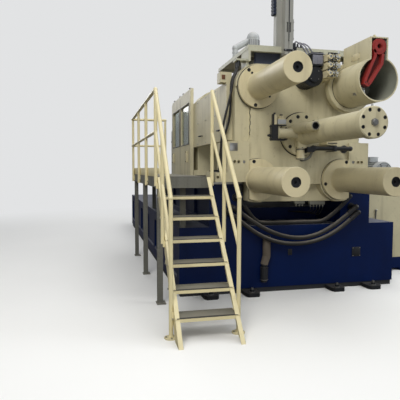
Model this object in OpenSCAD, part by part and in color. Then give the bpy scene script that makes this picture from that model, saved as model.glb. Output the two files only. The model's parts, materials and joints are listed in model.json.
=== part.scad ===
/* [Base] */
// Length of the base along the machine
base_l = 6900; // [6600:50:7400]
// Width of the base
base_w = 2800; // [2700:20:3000]
// Height of the shelf on top of the base
base_h = 810; // [760:10:860]
// Height of the dark sill under the base
sill_h = 60; // [40:5:90]
// How far the sill stands back from the faces of the base
sill_inset = 14; // [5:1:30]
// How far the raised middle stands back from the front of the base
trough_inset = 600; // [500:20:800]
// How far the raised middle stands back from the rear of the base
trough_rear = 200; // [120:20:400]
// Space between the platens and the raised middle
under_gap = 130; // [100:5:160]
// Number of bays in each long side of the base
bay_count = 6; // [3:1:8]
// Width of the ribs between the bays
bay_rib = 140; // [80:10:200]
// Depth of the bays
bay_depth = 30; // [15:5:60]
// Distance from the machine's centre plane to the inner face of a bed wall
wall_in = 640; // [632:2:660]
// Width of a bed wall
wall_w = 405; // [400:5:440]
// Depth of the top of the ways under the machine's axis
way_drop = 550; // [540:5:580]
// Thickness of the way strips
way_t = 30; // [20:5:40]
// Width of a levelling pad
pad_w = 180; // [160:10:220]
// Thickness of a levelling pad
pad_t = 45; // [30:5:55]
// How far a levelling pad reaches out of the base
pad_out = 190; // [170:10:240]
// Distance from a pad's end to the middle of its anchor hole
anchor_in = 70; // [60:5:90]
// Diameter of the anchor hole in a levelling pad
anchor_d = 36; // [24:2:48]
// Distance from the centre plane to the inner pads
pad_x_inner = 550; // [400:10:700]
// Distance from the centre plane to the outer pads
pad_x_outer = 1050; // [900:10:1150]

/* [Clamp] */
// Height of the machine's axis over the floor
axis_h = 1890; // [1860:10:1960]
// Spacing of the tie bars, both ways
tie_sp = 1050; // [1030:10:1060]
// Diameter of a tie bar
tie_d = 190; // [160:5:200]
// Half the width of the platens
platen_hw = 785; // [780:5:800]
// Half the height of the platens
platen_hh = 785; // [780:5:800]
// Corner radius of the platens
platen_r = 250; // [200:10:260]
// Half the width of the platens between the bed walls
platen_waist = 625; // [615:5:630]
// How far the end plate's face stands ahead of the base
plate_lead = 166; // [120:2:200]
// Thickness of the end plate
plate_t = 420; // [380:10:460]
// Height of a foot of the end plate over the ways
foot_rise = 460; // [420:10:480]
// Height of the step at the tip of a foot over the ways
foot_step = 110; // [80:5:140]
// How far the feet stand ahead of the end plate's face
foot_lead = 25; // [15:5:40]
// Distance from the centre plane to the outer face of a foot block
foot_out = 883; // [870:1:900]
// Distance from the centre plane to the tip of a foot
foot_tip = 1025; // [990:5:1040]
// Diameter of the dowel holes in the face of a foot
dowel_d = 34; // [20:2:44]
// Depth of the machined strips at the end plate's sides
strip_t = 30; // [10:2:40]
// Depth of the recessed web between the lower tie bars
web_t = 110; // [60:10:140]
// Depth of the top of the recessed web under the axis
web_drop = 577; // [560:1:620]
// Depth of the pockets in the backs of the cast plates
pocket_t = 190; // [120:10:240]
// Space between the end plate and the moving platen, die closed
toggle_l = 1500; // [1450:10:1600]
// Thickness of the moving platen
moving_t = 400; // [360:10:440]
// Space between the platens, die closed
die_l = 900; // [800:10:960]
// Thickness of the fixed platen
fixed_t = 400; // [360:10:440]
// Distance from the centre plane to the outer end of a platen's foot
shoe_out = 845; // [820:5:850]
// Height of a platen's foot over the ways
shoe_rise = 130; // [100:10:180]
// Diameter of the ejector opening in the moving platen
eject_d = 160; // [120:10:180]
// Diameter of the die mounting holes
die_hole_d = 30; // [24:1:36]
// Depth of the die mounting holes
die_hole_l = 60; // [40:5:80]
// Spacing of the die mounting holes across
die_hole_sx = 800; // [600:20:820]
// Spacing of the die mounting holes up and down
die_hole_sz = 400; // [300:20:500]
// Distance of the outer clamping slots from the axis
slot_z = 350; // [330:10:370]
// Width of a clamping slot's mouth
slot_w = 36; // [24:2:40]
// Depth of a clamping slot
slot_t = 60; // [45:5:80]
// Running gap round shafts and pins
run_gap = 0.3; // [0.2:0.1:0.5]
// Wall of a tie bar nut
nut_wall = 65; // [50:5:70]
// Length of a tie bar nut behind the fixed platen
nut_l = 220; // [180:10:260]
// Number of spanner slots round a tie bar nut
nut_slots = 6; // [4:1:8]

/* [Tie bar covers] */
// Length of a cover from the end plate's face
cover_l = 1050; // [900:10:1150]
// Outer diameter of a cover's tube
cover_d = 288; // [270:2:300]
// Wall of a cover's tube
cover_wall = 10; // [6:1:16]
// Diameter of the hole in a cover's end face
cover_hole_d = 102; // [80:2:120]
// Diameter of a cover's flange
flange_d = 482; // [460:2:500]
// Thickness of a cover's flange
flange_t = 48; // [35:1:60]
// Diameter of the circle of screws in a cover's flange
flange_pcd = 428; // [400:2:436]
// Diameter of the counterbores for the flanges' screws
screw_bore_d = 34; // [24:2:40]
// Depth of the counterbores for the flanges' screws
screw_bore_t = 26; // [15:1:32]

/* [Tie bar puller] */
// Diameter of the puller's flange
puller_flange_d = 556; // [520:2:570]
// Distance of the puller's flange from the end plate's face
puller_flange_t = 200; // [160:10:240]
// Thickness of the puller's flange ahead of its neck
puller_rim_t = 80; // [50:5:120]
// Outer diameter of the puller's housing
housing_d = 460; // [440:5:480]
// Wall of the puller's housing
housing_wall = 12; // [8:1:16]
// Length of the puller's housing ahead of its flange
housing_l = 520; // [450:10:600]
// Width of the channel on top of the housing
channel_w = 202; // [190:2:220]
// Height of the channel's top over the tie bar's axis
channel_h = 425; // [400:5:450]
// Thickness of the cross plate that carries the arm's pin
bracket_t = 20; // [12:1:30]
// Angle of the locking arm off the vertical
arm_lean = 21; // [18:1:23]
// Length of the locking arm between its eye and its toe
arm_l = 440; // [400:10:450]
// Diameter of the locking arm's eye
arm_eye_d = 160; // [120:5:165]
// Depth of the locking arm along the machine
arm_t = 70; // [50:5:90]
// Thickness of a rib of the locking arm
arm_rib = 34; // [20:2:40]
// Width of the locking arm's toe
arm_toe_w = 96; // [70:2:100]
// How far the locking arm stands back from the housing's mouth
arm_inset = 60; // [40:5:120]
// Diameter of the locking arm's pin
arm_pin_d = 44; // [30:2:56]

/* [Closing cylinder] */
// Diameter of the closing cylinder's flange
cyl_flange_d = 494; // [470:2:520]
// Thickness of the closing cylinder's flange
cyl_flange_t = 55; // [40:5:70]
// Diameter of the circle of screws in the cylinder's flange
cyl_flange_pcd = 408; // [390:2:420]
// Number of screws in the cylinder's flange
cyl_screws = 12; // [6:1:16]
// Diameter of the closing cylinder's thick body
cyl_body_d = 270; // [260:5:300]
// Length of the closing cylinder's thick body
cyl_body_l = 260; // [240:10:300]
// Diameter of the closing cylinder's barrel
cyl_barrel_d = 245; // [220:5:255]
// Length of the closing cylinder ahead of the end plate
cyl_l = 1450; // [1300:10:1600]
// Thickness of the closing cylinder's end cap
cyl_cap_t = 70; // [50:5:100]
// How far the end cap stands out of the barrel
cyl_cap_lip = 18; // [10:1:30]
// Diameter of the closing cylinder's rod
rod_d = 110; // [90:5:130]
// Outer diameter of the port boss on the barrel
port_d = 104; // [90:2:120]
// Bore of the port boss
port_bore = 76; // [50:2:84]
// How far the front of the port boss lies ahead of the end plate's face
port_reach = 640; // [500:10:700]
// Diameter of the stub at the cylinder's side
stub_d = 112; // [90:2:130]
// Distance from the axis to the end of the stub
stub_reach = 350; // [300:5:380]
// Diameter of the pressure pipe
pipe_d = 50; // [30:2:60]
// How far the pressure pipe runs ahead of the end plate's face
pipe_out = 150; // [100:5:180]

/* [Toggle] */
// Diameter of the main toggle pins
pin_d = 110; // [90:5:120]
// Outer diameter of the eyes of the toggle links
eye_d = 210; // [190:5:220]
// Thickness of a toggle's inner link
link_t = 90; // [70:5:96]
// Thickness of a toggle's outer links and of the ears outside a link
outer_t = 50; // [40:2:54]
// Space between a link and its neighbour on a pin
link_gap = 3; // [2:0.5:4]
// Distance from the centre plane to the middle of a toggle's inner link
link_x = 300; // [290:5:305]
// Distance from a plate to the toggle pins on it
pin_reach = 150; // [140:5:180]
// Height over the axis of the toggle pins on the end plate
rear_pin_z = 500; // [480:5:520]
// Height over the axis of the knee pins, die closed
knee_pin_z = 475; // [460:5:490]
// Height over the axis of the toggle pins on the moving platen
front_pin_z = 420; // [400:5:440]
// Diameter of the crosshead's pins
small_pin_d = 64; // [50:2:70]
// Outer diameter of the eyes of the crosshead links
small_eye_d = 140; // [120:5:150]
// Thickness of a crosshead link
small_t = 30; // [20:2:36]
// Drop of a rear link's lug towards the axis
lug_drop = 150; // [130:5:170]
// Height over the axis of the crosshead's pins
cross_pin_z = 230; // [220:5:250]
// Length of the crosshead along the machine
crosshead_l = 160; // [140:10:200]
// Height of the crosshead's beam
crosshead_h = 190; // [170:5:200]
// Diameter of the crosshead's guide rods
guide_d = 80; // [60:5:90]
// Height over the axis of the guide rods
guide_z = 180; // [175:5:200]
// Diameter of the ejector cylinder
ejector_d = 190; // [150:5:200]
// Length of the ejector cylinder
ejector_l = 300; // [240:10:340]

/* [Shot end] */
// Depth of the shot sleeve's axis under the machine's axis
shot_drop = 200; // [180:5:220]
// Bore of the shot sleeve
sleeve_d = 120; // [90:5:130]
// Outer diameter of the shot sleeve
sleeve_od = 190; // [170:5:196]
// Length of the shot sleeve behind the fixed platen
sleeve_l = 520; // [450:10:600]
// Length of the pouring hole in the shot sleeve
pour_l = 200; // [150:10:240]
// Width of the pouring hole in the shot sleeve
pour_w = 90; // [60:5:100]
// Space between the fixed platen and the shot frame's plate
shot_frame_l = 1300; // [1200:10:1400]
// Half the width of the shot frame
shot_hw = 330; // [280:10:350]
// Half the height of the shot frame
shot_hh = 440; // [420:10:460]
// Height of the shot frame's arms
shot_arm = 180; // [150:10:200]
// Thickness of the shot frame's plates
shot_plate_t = 150; // [120:10:180]
// Diameter of the shot cylinder
shot_d = 320; // [280:10:360]
// Length of the shot cylinder
shot_l = 1150; // [1000:10:1300]
// Diameter of the pressure booster behind the shot cylinder
booster_d = 420; // [380:10:460]
// Length of the pressure booster
booster_l = 380; // [300:10:440]
// Diameter of the plunger rod behind its coupling
plunger_d = 100; // [80:5:110]
// Diameter of an accumulator
bottle_d = 260; // [220:10:300]
// Height of an accumulator
bottle_h = 1500; // [1300:20:1700]
// Distance from the centre plane to an accumulator's axis
bottle_x = 440; // [400:10:480]
// Spacing of two accumulators along the machine
bottle_sp = 380; // [340:10:420]

/* [Stair and platform] */
// Height of the platform's deck
deck_h = 1400; // [1360:5:1440]
// Slope of the stair in degrees
stair_deg = 48; // [45:0.5:52]
// Distance from the centre plane to the inner handrail
rail_in = 1080; // [1075:5:1110]
// Width of the stair between its handrails
stair_w = 620; // [560:10:700]
// How far ahead of the end plate's face the foot of the stair lies
stair_lead = 1350; // [1330:10:1400]
// Wanted rise of one step
step_rise = 200; // [180:5:230]
// Depth of a tread
tread_d = 210; // [180:5:240]
// Thickness of a tread
tread_t = 30; // [20:2:40]
// Upright depth of the stair's stringers
stringer_h = 190; // [150:5:220]
// Thickness of the stringers' web
stringer_t = 8; // [5:1:12]
// Diameter of the handrail tube
rail_d = 40; // [32:1:48]
// Height of the handrail over the stair's slope
rail_h = 925; // [850:5:1000]
// Drop of the middle rail under the handrail
mid_drop = 445; // [400:5:500]
// Distance along the machine from the stair's foot to its first post
post_in = 279; // [240:5:320]
// Length of the platform
deck_l = 3000; // [2600:50:3400]
// Thickness of the platform's deck
deck_t = 40; // [30:5:60]
// Height of the platform's edge beams
deck_beam = 120; // [80:10:160]
// Width of a platform leg
leg_w = 60; // [40:5:80]

/* [Roof and mast] */
// Height of the roof's underside over the platens' top
roof_rise = 171; // [150:1:220]
// Thickness of the roof sheet
roof_t = 16; // [8:1:24]
// Length of the roof
roof_l = 1260; // [1200:10:1500]
// Half the width of the roof
roof_hw = 660; // [640:5:680]
// How far the roof stands ahead of the end plate's face
roof_lead = 60; // [50:5:90]
// Height of the lips and beams under the roof
roof_lip = 50; // [30:5:70]
// Thickness of the posts under the roof
post_t = 27; // [15:1:34]
// Depth of the posts under the roof
post_l = 250; // [200:10:300]
// Width of the mast's main profile
mast_w = 96; // [80:2:110]
// Height of the mast over the roof's underside
mast_rise = 954; // [800:2:1100]
// Diameter of the blower on the roof
blower_d = 165; // [150:5:200]
// Height of the blower on the roof
blower_h = 405; // [360:5:450]

/* [Guards and power unit] */
// Drop of the top of the side guards under the platens' top
guard_drop = 195; // [160:5:240]
// Depth of a side guard, out from the platens
guard_d = 68; // [60:2:90]
// Sheet of the side guards
guard_t = 4; // [3:1:6]
// How far the side guards stand back from the end plate's face
guard_back = 139; // [130:1:160]
// Thickness of the die guards
door_t = 50; // [40:5:70]
// Width of the frame round the die guards' windows
door_frame = 120; // [90:10:160]
// Length of the power unit
power_l = 2200; // [1900:50:2600]
// Width of the power unit
power_w = 760; // [700:20:900]
// Height of the power unit's tank over its skid
tank_h = 1040; // [900:20:1200]
// Height of the power unit's skid
skid_h = 200; // [140:10:240]
// How far the power unit stands back from the front of the base
power_back = 700; // [600:20:900]
// Diameter of a pump motor
motor_d = 300; // [260:10:340]
// Length of a pump motor
motor_l = 520; // [440:10:560]
// Number of cooling fins round a pump motor
motor_fins = 20; // [12:2:28]

/* [Hidden] */
$fn = 64;

front = -base_l / 2;
face = front - plate_lead;
plate_back = face + plate_t;
moving_y = plate_back + toggle_l;
moving_back = moving_y + moving_t;
fixed_y = moving_back + die_l;
fixed_back = fixed_y + fixed_t;
shot_y = fixed_back + shot_frame_l;
shot_back = shot_y + shot_plate_t;
tie_h = tie_sp / 2;
wall_out = wall_in + wall_w;
way_h = axis_h - way_drop;
wall_top = way_h - way_t;
platen_low = axis_h - platen_hh;
platen_top = axis_h + platen_hh;
trough_h = platen_low - under_gap;
foot_top = way_h + foot_rise;
roof_h = platen_top + roof_rise;
roof_y = face - roof_lead;
mast_top = roof_h + mast_rise;
guard_h = platen_top - guard_drop;
pin_rear_y = plate_back + pin_reach;
pin_front_y = moving_y - pin_reach;
knee_y = (pin_rear_y + pin_front_y) / 2;
cross_y = knee_y + 50;
lug_y = knee_y - 230;
lug_z = (rear_pin_z + knee_pin_z) / 2 - lug_drop;
stair_foot = face - stair_lead;
steps = round(deck_h / step_rise);
rise = deck_h / steps;
deck_y = stair_foot + deck_h / tan(stair_deg);
rail_out = rail_in + stair_w;
deck_in = rail_in + rail_d / 2;
deck_out = rail_out - rail_d / 2;
nut_d = tie_d + 2 * nut_wall;
puller_y = face - puller_flange_t;
mouth_y = puller_y - housing_l;
shot_z = axis_h - shot_drop;
unit_x = base_w / 2;
unit_y = front + power_back;

cream = [0.75, 0.72, 0.58];
navy = [0.02, 0.08, 0.25];
black = [0.06, 0.06, 0.07];
steel = [0.62, 0.63, 0.64];
grey = [0.5, 0.51, 0.5];
rail_cream = [0.9, 0.85, 0.66];
red = [0.5, 0.12, 0.1];
hose_grey = [0.2, 0.19, 0.18];

// A shape drawn in X and Z is pushed out along +Y from y0
module along(y0, length) {
  translate([0, y0, 0]) rotate([90, 0, 0]) mirror([0, 0, 1]) linear_extrude(length) children();
}

// A shape drawn in Y and Z is pushed out along +X from x0
module across(x0, length) {
  translate([x0, 0, 0]) rotate([90, 0, 90]) linear_extrude(length) children();
}

// A profile of radius and distance is turned about an axis along +Y
module turned(x, y0, z) {
  translate([x, y0, z]) rotate([-90, 0, 0]) rotate_extrude() children();
}

// A round bar along +Y from y0
module bar_y(x, y0, z, d, length) {
  translate([x, y0, z]) rotate([-90, 0, 0]) cylinder(d = d, h = length);
}

// A round bar along +X from x0
module bar_x(x0, y, z, d, length) {
  translate([x0, y, z]) rotate([0, 90, 0]) cylinder(d = d, h = length);
}

// A round bar from one point to another
module bar_between(a, b, d) {
  v = b - a;
  translate(a) rotate([0, acos(v[2] / norm(v)), atan2(v[1], v[0])]) cylinder(d = d, h = norm(v));
}

// A box from its low corner to its high corner
module block(a, b) {
  translate(a) cube(b - a);
}

// A flat rectangle with round corners about its middle
module round_rect(w, h, r) {
  square([w, h - 2 * r], center = true);
  square([w - 2 * r, h], center = true);
  for (x = [-1, 1], z = [-1, 1]) translate([x * (w / 2 - r), z * (h / 2 - r)]) circle(r);
}

// The flat outline round two circles, with straight sides that touch both
module strap(p, q, rp, rq) {
  v = q - p;
  a = atan2(v[1], v[0]);
  b = acos((rp - rq) / norm(v));
  translate(p) circle(rp);
  translate(q) circle(rq);
  touch = [[p, rp, b], [q, rq, b], [q, rq, -b], [p, rp, -b]];
  polygon([for (e = touch) e[0] + e[1] * [cos(a + e[2]), sin(a + e[2])]]);
}

// The four tie bar places in X and Z: upper left, upper right, lower left, lower right
function tie_at(i) = [(i % 2 == 0 ? -1 : 1) * tie_h, axis_h + (i < 2 ? 1 : -1) * tie_h];

module tie_bores(y0, length, d) {
  for (i = [0:3]) bar_y(tie_at(i)[0], y0, tie_at(i)[1], d, length);
}

module base_frame() {
  bay_l = 2 * floor((base_l - (bay_count + 1) * bay_rib) / bay_count / 2);
  pitch = bay_l + bay_rib;
  color(navy) difference() {
    union() {
      block([-base_w / 2, front, sill_h], [base_w / 2, -front, base_h]);
      block([-wall_in, front + trough_inset, base_h - 10], [wall_in, -front - trough_rear, trough_h]);
    }
    for (x = [-base_w / 2 - 1, base_w / 2 - bay_depth], k = [0:bay_count - 1])
      across(x, bay_depth + 1)
        translate([(k - (bay_count - 1) / 2) * pitch, (sill_h + base_h) / 2])
          round_rect(bay_l, base_h - sill_h - 2 * bay_rib, 40);
  }
}

module base_sill() {
  s = sill_inset;
  color(black) block([-base_w / 2 + s, front + s, 0], [base_w / 2 - s, -front - s, sill_h]);
}

// A wall on each side carries the ways, with pockets in its outer face
module bed_walls() {
  wall_l = fixed_back - front;
  pocket_l = 2 * floor((wall_l - 5 * bay_rib) / 8);
  color(navy) for (side = [-1, 1]) scale([side, 1, 1]) difference() {
    block([wall_in, front, base_h], [wall_out, fixed_back, wall_top]);
    for (k = [0:3]) across(wall_out - bay_depth, bay_depth + 1)
      translate([front + bay_rib + k * (pocket_l + bay_rib) + pocket_l / 2, (base_h + wall_top) / 2])
        round_rect(pocket_l, wall_top - base_h - bay_rib, 40);
  }
}

module bed_ways() {
  c = way_t / 4;
  color(steel) for (side = [-1, 1]) scale([side, 1, 1]) along(front, fixed_back - front) polygon([
    [wall_in, wall_top], [wall_out, wall_top], [wall_out, way_h - c], [wall_out - c, way_h],
    [wall_in + c, way_h], [wall_in, way_h - c]
  ]);
}

// A pad lies half under the base's edge with its anchor hole outside, and a rib stands on it
module pad(x, end) {
  reach = pad_out + sill_inset;
  hole_y = reach - anchor_in;
  translate([x, end * (base_l / 2 - sill_inset), 0]) scale([1, end, 1]) difference() {
    union() {
      block([-pad_w / 2, 0, 0], [pad_w / 2, hole_y, pad_t]);
      translate([0, hole_y, 0]) intersection() {
        cylinder(d = pad_w, h = pad_t);
        block([-pad_w, 0, 0], [pad_w, anchor_in, pad_t]);
      }
    }
    translate([0, hole_y, -1]) cylinder(d = anchor_d, h = pad_t + 2);
  }
}

module levelling_pads() {
  color(black) for (x = [pad_x_inner, pad_x_outer], side = [-1, 1], end = [-1, 1]) pad(side * x, end);
}

// The platens' outline, drawn in between the bed walls below the ways
module platen_outline() {
  difference() {
    translate([0, axis_h]) round_rect(2 * platen_hw, 2 * platen_hh, platen_r);
    for (x = [-platen_hw - 1, platen_waist])
      translate([x, platen_low - 1]) square([platen_hw - platen_waist + 1, way_h - platen_low + 1]);
  }
}

// Ears that hold a toggle pin behind a plate, dir +1 towards +Y
module ears(y0, dir, pin_z, xs, t) {
  y1 = y0 + dir * pin_reach;
  for (x = [-1, 1], z = [-1, 1], dx = xs)
    across(x * link_x + dx - t / 2, t)
      strap([y0, axis_h + z * pin_z], [y1, axis_h + z * pin_z], eye_d / 2 + 40, eye_d / 2);
}

module ear_bores(pin_y, pin_z) {
  for (x = [-1, 1], z = [-1, 1])
    bar_x(x * link_x - link_t / 2 - outer_t - 2 * link_gap, pin_y, axis_h + z * pin_z,
      pin_d + 2 * run_gap, link_t + 2 * outer_t + 4 * link_gap);
}

// Pockets between the ribs in the back of a plate, on both sides of its middle bore
module back_pockets(y0, h) {
  inner = ejector_d / 2 + 60;
  outer = platen_waist - 60;
  for (side = [-1, 1]) along(y0, pocket_t + 1) translate([side * (inner + outer) / 2, axis_h])
    round_rect(outer - inner, h, 40);
}

// Foot block, step and tip of the end plate in one profile
module plate_foot(side) {
  block_l = plate_t + foot_lead;
  scale([side, 1, 1]) along(face - foot_lead, block_l) polygon([
    [platen_waist, way_h], [foot_tip, way_h], [foot_tip, way_h + foot_step], [foot_out, way_h + foot_step],
    [foot_out, foot_top], [platen_waist, foot_top]
  ]);
}

module foot_holes(side) {
  depth = 61;
  row_z = way_h + foot_rise / 2;
  row_x = platen_waist + 62;
  for (dx = [0, 66, 113]) bar_y(side * (row_x + dx), face - foot_lead - 1, row_z, dowel_d, depth);
  bar_y(side * (foot_tip - 30), face - foot_lead - 1, way_h + foot_step / 2, dowel_d, depth);
}

module end_plate() {
  ear_dx = (link_t + outer_t) / 2 + link_gap;
  color(cream) difference() {
    union() {
      along(face, plate_t) platen_outline();
      for (side = [-1, 1]) plate_foot(side);
      ears(plate_back, 1, rear_pin_z, [-ear_dx, ear_dx], outer_t);
    }
    tie_bores(face - 1, plate_t + 2, tie_d + 2 * run_gap);
    bar_y(0, face - 1, axis_h, rod_d + 60, plate_t + 2);
    web_recess();
    for (side = [-1, 1]) {
      strip_recess(side);
      foot_holes(side);
    }
    back_pockets(plate_back - pocket_t, 2 * (rear_pin_z - eye_d / 2 - 75));
    ear_bores(pin_rear_y, rear_pin_z);
  }
}

// The web between the lower tie bars stands back from the face
module web_recess() {
  edge = tie_h - 60;
  difference() {
    block([-edge, face - 1, platen_low - 1], [edge, face + web_t, axis_h - web_drop]);
    for (x = [-1, 1]) bar_y(x * tie_h, face - 2, axis_h - tie_h, flange_d + 30, web_t + 4);
  }
}

// Machined strip at the plate's side, with a round corner at its foot
module strip_recess(side) {
  r = 60;
  x0 = platen_waist - 11;
  z0 = foot_top + 6;
  scale([side, 1, 1]) along(face - 1, strip_t + 1) difference() {
    translate([x0, z0]) square([platen_hw + 1 - x0, axis_h + tie_h - z0]);
    difference() {
      translate([x0, z0]) square(r);
      translate([x0 + r, z0 + r]) circle(r);
    }
  }
}

module tie_bars() {
  c = 12;
  r = tie_d / 2;
  color(steel) for (i = [0:3]) {
    reach = i == 1 ? puller_flange_t + 160 : 300;
    length = fixed_back + nut_l + 110 - face + reach;
    turned(tie_at(i)[0], face - reach, tie_at(i)[1])
      polygon([[0, 0], [r - c, 0], [r, c], [r, length - c], [r - c, length], [0, length]]);
  }
}

// Round nuts with spanner slots behind the fixed platen
module tie_bar_nuts() {
  c = 12;
  r = nut_d / 2;
  hole = tie_d / 2 + run_gap;
  slot = 40;
  color(steel) for (i = [0:3]) difference() {
    turned(tie_at(i)[0], fixed_back, tie_at(i)[1])
      polygon([[hole, 0], [r, 0], [r, nut_l - c], [r - c, nut_l], [hole, nut_l]]);
    for (k = [0:nut_slots - 1]) translate([tie_at(i)[0], fixed_back + 60, tie_at(i)[1]])
      rotate([0, 360 * k / nut_slots, 0]) translate([r - 20, 0, -slot / 2]) cube([40, nut_l, slot]);
  }
}

// Counterbores at given angles in a flange whose face is at y0, but for those beyond its flat
module screw_bores(x, y0, z, pcd, angles, edge) {
  for (a = angles)
    if (abs(x + pcd / 2 * cos(a)) < edge)
      bar_y(x + pcd / 2 * cos(a), y0 - 1, z + pcd / 2 * sin(a), screw_bore_d, screw_bore_t + 1);
}

function even_angles(count, start) = [for (k = [0:count - 1]) start + 360 * k / count];
function cover_angles(i) = i == 0 ? [125, 12, 259] : i == 2 ? [104, 224, 344] : [194, 314, 74];

// Flange, tube and end face of a cover as one turned piece, cut flat beside a foot
module cover(i) {
  x = tie_at(i)[0];
  z = tie_at(i)[1];
  r = cover_d / 2;
  low = i > 1;
  c = 4;
  end_t = 14;
  difference() {
    translate([x, face, z]) rotate([90, 0, 0]) rotate_extrude() polygon([
      [r - cover_wall, 0], [flange_d / 2, 0], [flange_d / 2, flange_t - c], [flange_d / 2 - c, flange_t],
      [r + 10, flange_t], [r, flange_t + 10], [r, cover_l - c], [r - c, cover_l],
      [cover_hole_d / 2, cover_l], [cover_hole_d / 2, cover_l - end_t], [r - cover_wall, cover_l - end_t]
    ]);
    if (low) block([x > 0 ? platen_waist : -foot_out, face - flange_t - 1, 0],
      [x > 0 ? foot_out : -platen_waist, face + 1, axis_h]);
    screw_bores(x, face - flange_t, z, flange_pcd, cover_angles(i), low ? platen_waist - 25 : foot_out);
  }
}

module tie_bar_covers() {
  color(cream) for (i = [0, 2, 3]) cover(i);
}

module puller_flange() {
  r = puller_flange_d / 2;
  hole = nut_d / 2 + 2;
  neck = hole + 22;
  c = 6;
  color(cream) turned(tie_h, puller_y, axis_h + tie_h) polygon([
    [hole, 0], [r - c, 0], [r, c], [r, puller_rim_t], [neck, puller_rim_t], [neck, puller_flange_t],
    [hole, puller_flange_t]
  ]);
}

// Round housing with a channel on top, drawn as a keyhole
module keyhole(inset) {
  w = channel_w / 2 - inset;
  circle(housing_d / 2 - inset);
  translate([-w, 0]) square([2 * w, channel_h - inset]);
}

arm_x = tie_h + 4;
arm_y = mouth_y + arm_inset;
arm_z = axis_h + tie_h + channel_h - housing_wall - arm_eye_d / 2 - 3;
bracket_y = arm_y + arm_t + 6;

module puller_housing() {
  w = channel_w / 2 - housing_wall;
  high = axis_h + tie_h + channel_h - 1;
  low = high - housing_wall - arm_eye_d - 9;
  color(cream) difference() {
    union() {
      translate([tie_h, 0, axis_h + tie_h]) along(mouth_y, housing_l) difference() {
        keyhole(0);
        keyhole(housing_wall);
      }
      block([tie_h - w - 1, bracket_y, low], [tie_h + w + 1, bracket_y + bracket_t, high]);
    }
    bar_y(arm_x, bracket_y - 1, arm_z, arm_pin_d + 2 * run_gap, bracket_t + 2);
  }
}

// Two ribs and a web between them, hung from the eye and cut back at the channel's corner
module locking_arm() {
  clear = 4;
  color(red) intersection() {
    leaning_arm();
    translate([tie_h, 0, axis_h + tie_h]) along(arm_y - 1, arm_t + 2) keyhole(housing_wall + clear);
  }
}

module leaning_arm() {
  pitch = arm_eye_d - arm_rib - 16;
  web = 20;
  translate([arm_x, arm_y, arm_z]) rotate([90, 0, 0]) mirror([0, 0, 1]) rotate(-arm_lean) difference() {
    union() {
      linear_extrude(arm_t) circle(d = arm_eye_d);
      for (s = [-1, 1]) linear_extrude(arm_t) polygon([
        [s * (pitch + arm_rib) / 2, 0], [s * (pitch - arm_rib) / 2, 0],
        [s * (arm_toe_w / 2 - arm_rib), -arm_l], [s * arm_toe_w / 2, -arm_l]
      ]);
      translate([0, 0, arm_t - web]) linear_extrude(web)
        polygon([[-pitch / 2, 0], [pitch / 2, 0], [arm_toe_w / 2, -arm_l], [-arm_toe_w / 2, -arm_l]]);
      translate([-arm_toe_w / 2, -arm_l, 0]) cube([arm_toe_w, 80, arm_t]);
    }
    translate([0, 0, -1]) cylinder(d = arm_pin_d + 2 * run_gap, h = arm_t + 2);
  }
}

module arm_pin() {
  head = 12;
  color(black) {
    bar_y(arm_x, arm_y, arm_z, arm_pin_d, bracket_y + bracket_t - arm_y);
    bar_y(arm_x, arm_y - head, arm_z, arm_pin_d + 24, head);
  }
}

module puller_nut() {
  r = nut_d / 2;
  hole = tie_d / 2 + run_gap;
  c = 15;
  nut_out = 150;
  length = nut_out + puller_flange_t;
  color(grey) turned(tie_h, puller_y - nut_out, axis_h + tie_h)
    polygon([[hole, 0], [r - c, 0], [r, c], [r, length], [hole, length]]);
}

// Distance of the port boss from the axis, and the height of the stub over it
port_dx = -130;
port_dz = 41;
stub_dz = -4;

module closing_cylinder() {
  r = cyl_body_d / 2;
  b = cyl_barrel_d / 2;
  hole = rod_d / 2 + run_gap;
  shoulder_l = 60;
  lip = b + cyl_cap_lip;
  saddle_x = -45;
  saddle_w = 100;
  cap_pcd = cyl_barrel_d - 20;
  color(cream) difference() {
    union() {
      translate([0, face, axis_h]) rotate([90, 0, 0]) rotate_extrude() polygon([
        [0, 0], [cyl_flange_d / 2, 0], [cyl_flange_d / 2, cyl_flange_t - 5],
        [cyl_flange_d / 2 - 5, cyl_flange_t], [r + 20, cyl_flange_t], [r, cyl_flange_t + 20],
        [r, cyl_flange_t + shoulder_l], [b, cyl_body_l], [b, cyl_l - cyl_cap_t], [lip, cyl_l - cyl_cap_t],
        [lip, cyl_l - 8], [lip - 8, cyl_l], [0, cyl_l]
      ]);
      bar_y(port_dx, face - port_reach, axis_h + port_dz, port_d, port_reach - cyl_flange_t + 5);
      bar_x(-stub_reach, face - pipe_out - 10, axis_h + stub_dz, stub_d, stub_reach);
      block([saddle_x - saddle_w / 2, face - pipe_out - 20, axis_h - r - 30],
        [saddle_x + saddle_w / 2, face - cyl_flange_t - 15, axis_h - r + 60]);
    }
    bar_y(0, face - cyl_l + cyl_cap_t, axis_h, 2 * hole, cyl_l);
    bar_y(port_dx, face - port_reach - 1, axis_h + port_dz, port_bore, 61);
    screw_bores(0, face - cyl_flange_t, axis_h, cyl_flange_pcd, even_angles(cyl_screws, 15), cyl_flange_d);
    screw_bores(0, face - cyl_l, axis_h, cap_pcd, even_angles(8, 22.5), cyl_flange_d);
  }
}

// The rod ends in a shoulder and a nut that hold the crosshead between them
module cylinder_rod() {
  y0 = face - cyl_l + cyl_cap_t;
  color(steel) union() {
    bar_y(0, y0, axis_h, rod_d, cross_y + crosshead_l / 2 + 70 - y0);
    bar_y(0, cross_y - crosshead_l / 2 - 40, axis_h, rod_d + 44, 40);
    bar_y(0, cross_y + crosshead_l / 2, axis_h, rod_d + 44, 50);
  }
}

// Switch block like a square bracket round the end of the stub, seated on the stub's end
stub_block_t = 60;
stub_block_y = face - pipe_out - 10 - stub_block_t / 2;
stub_block_z = axis_h + 90;

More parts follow.
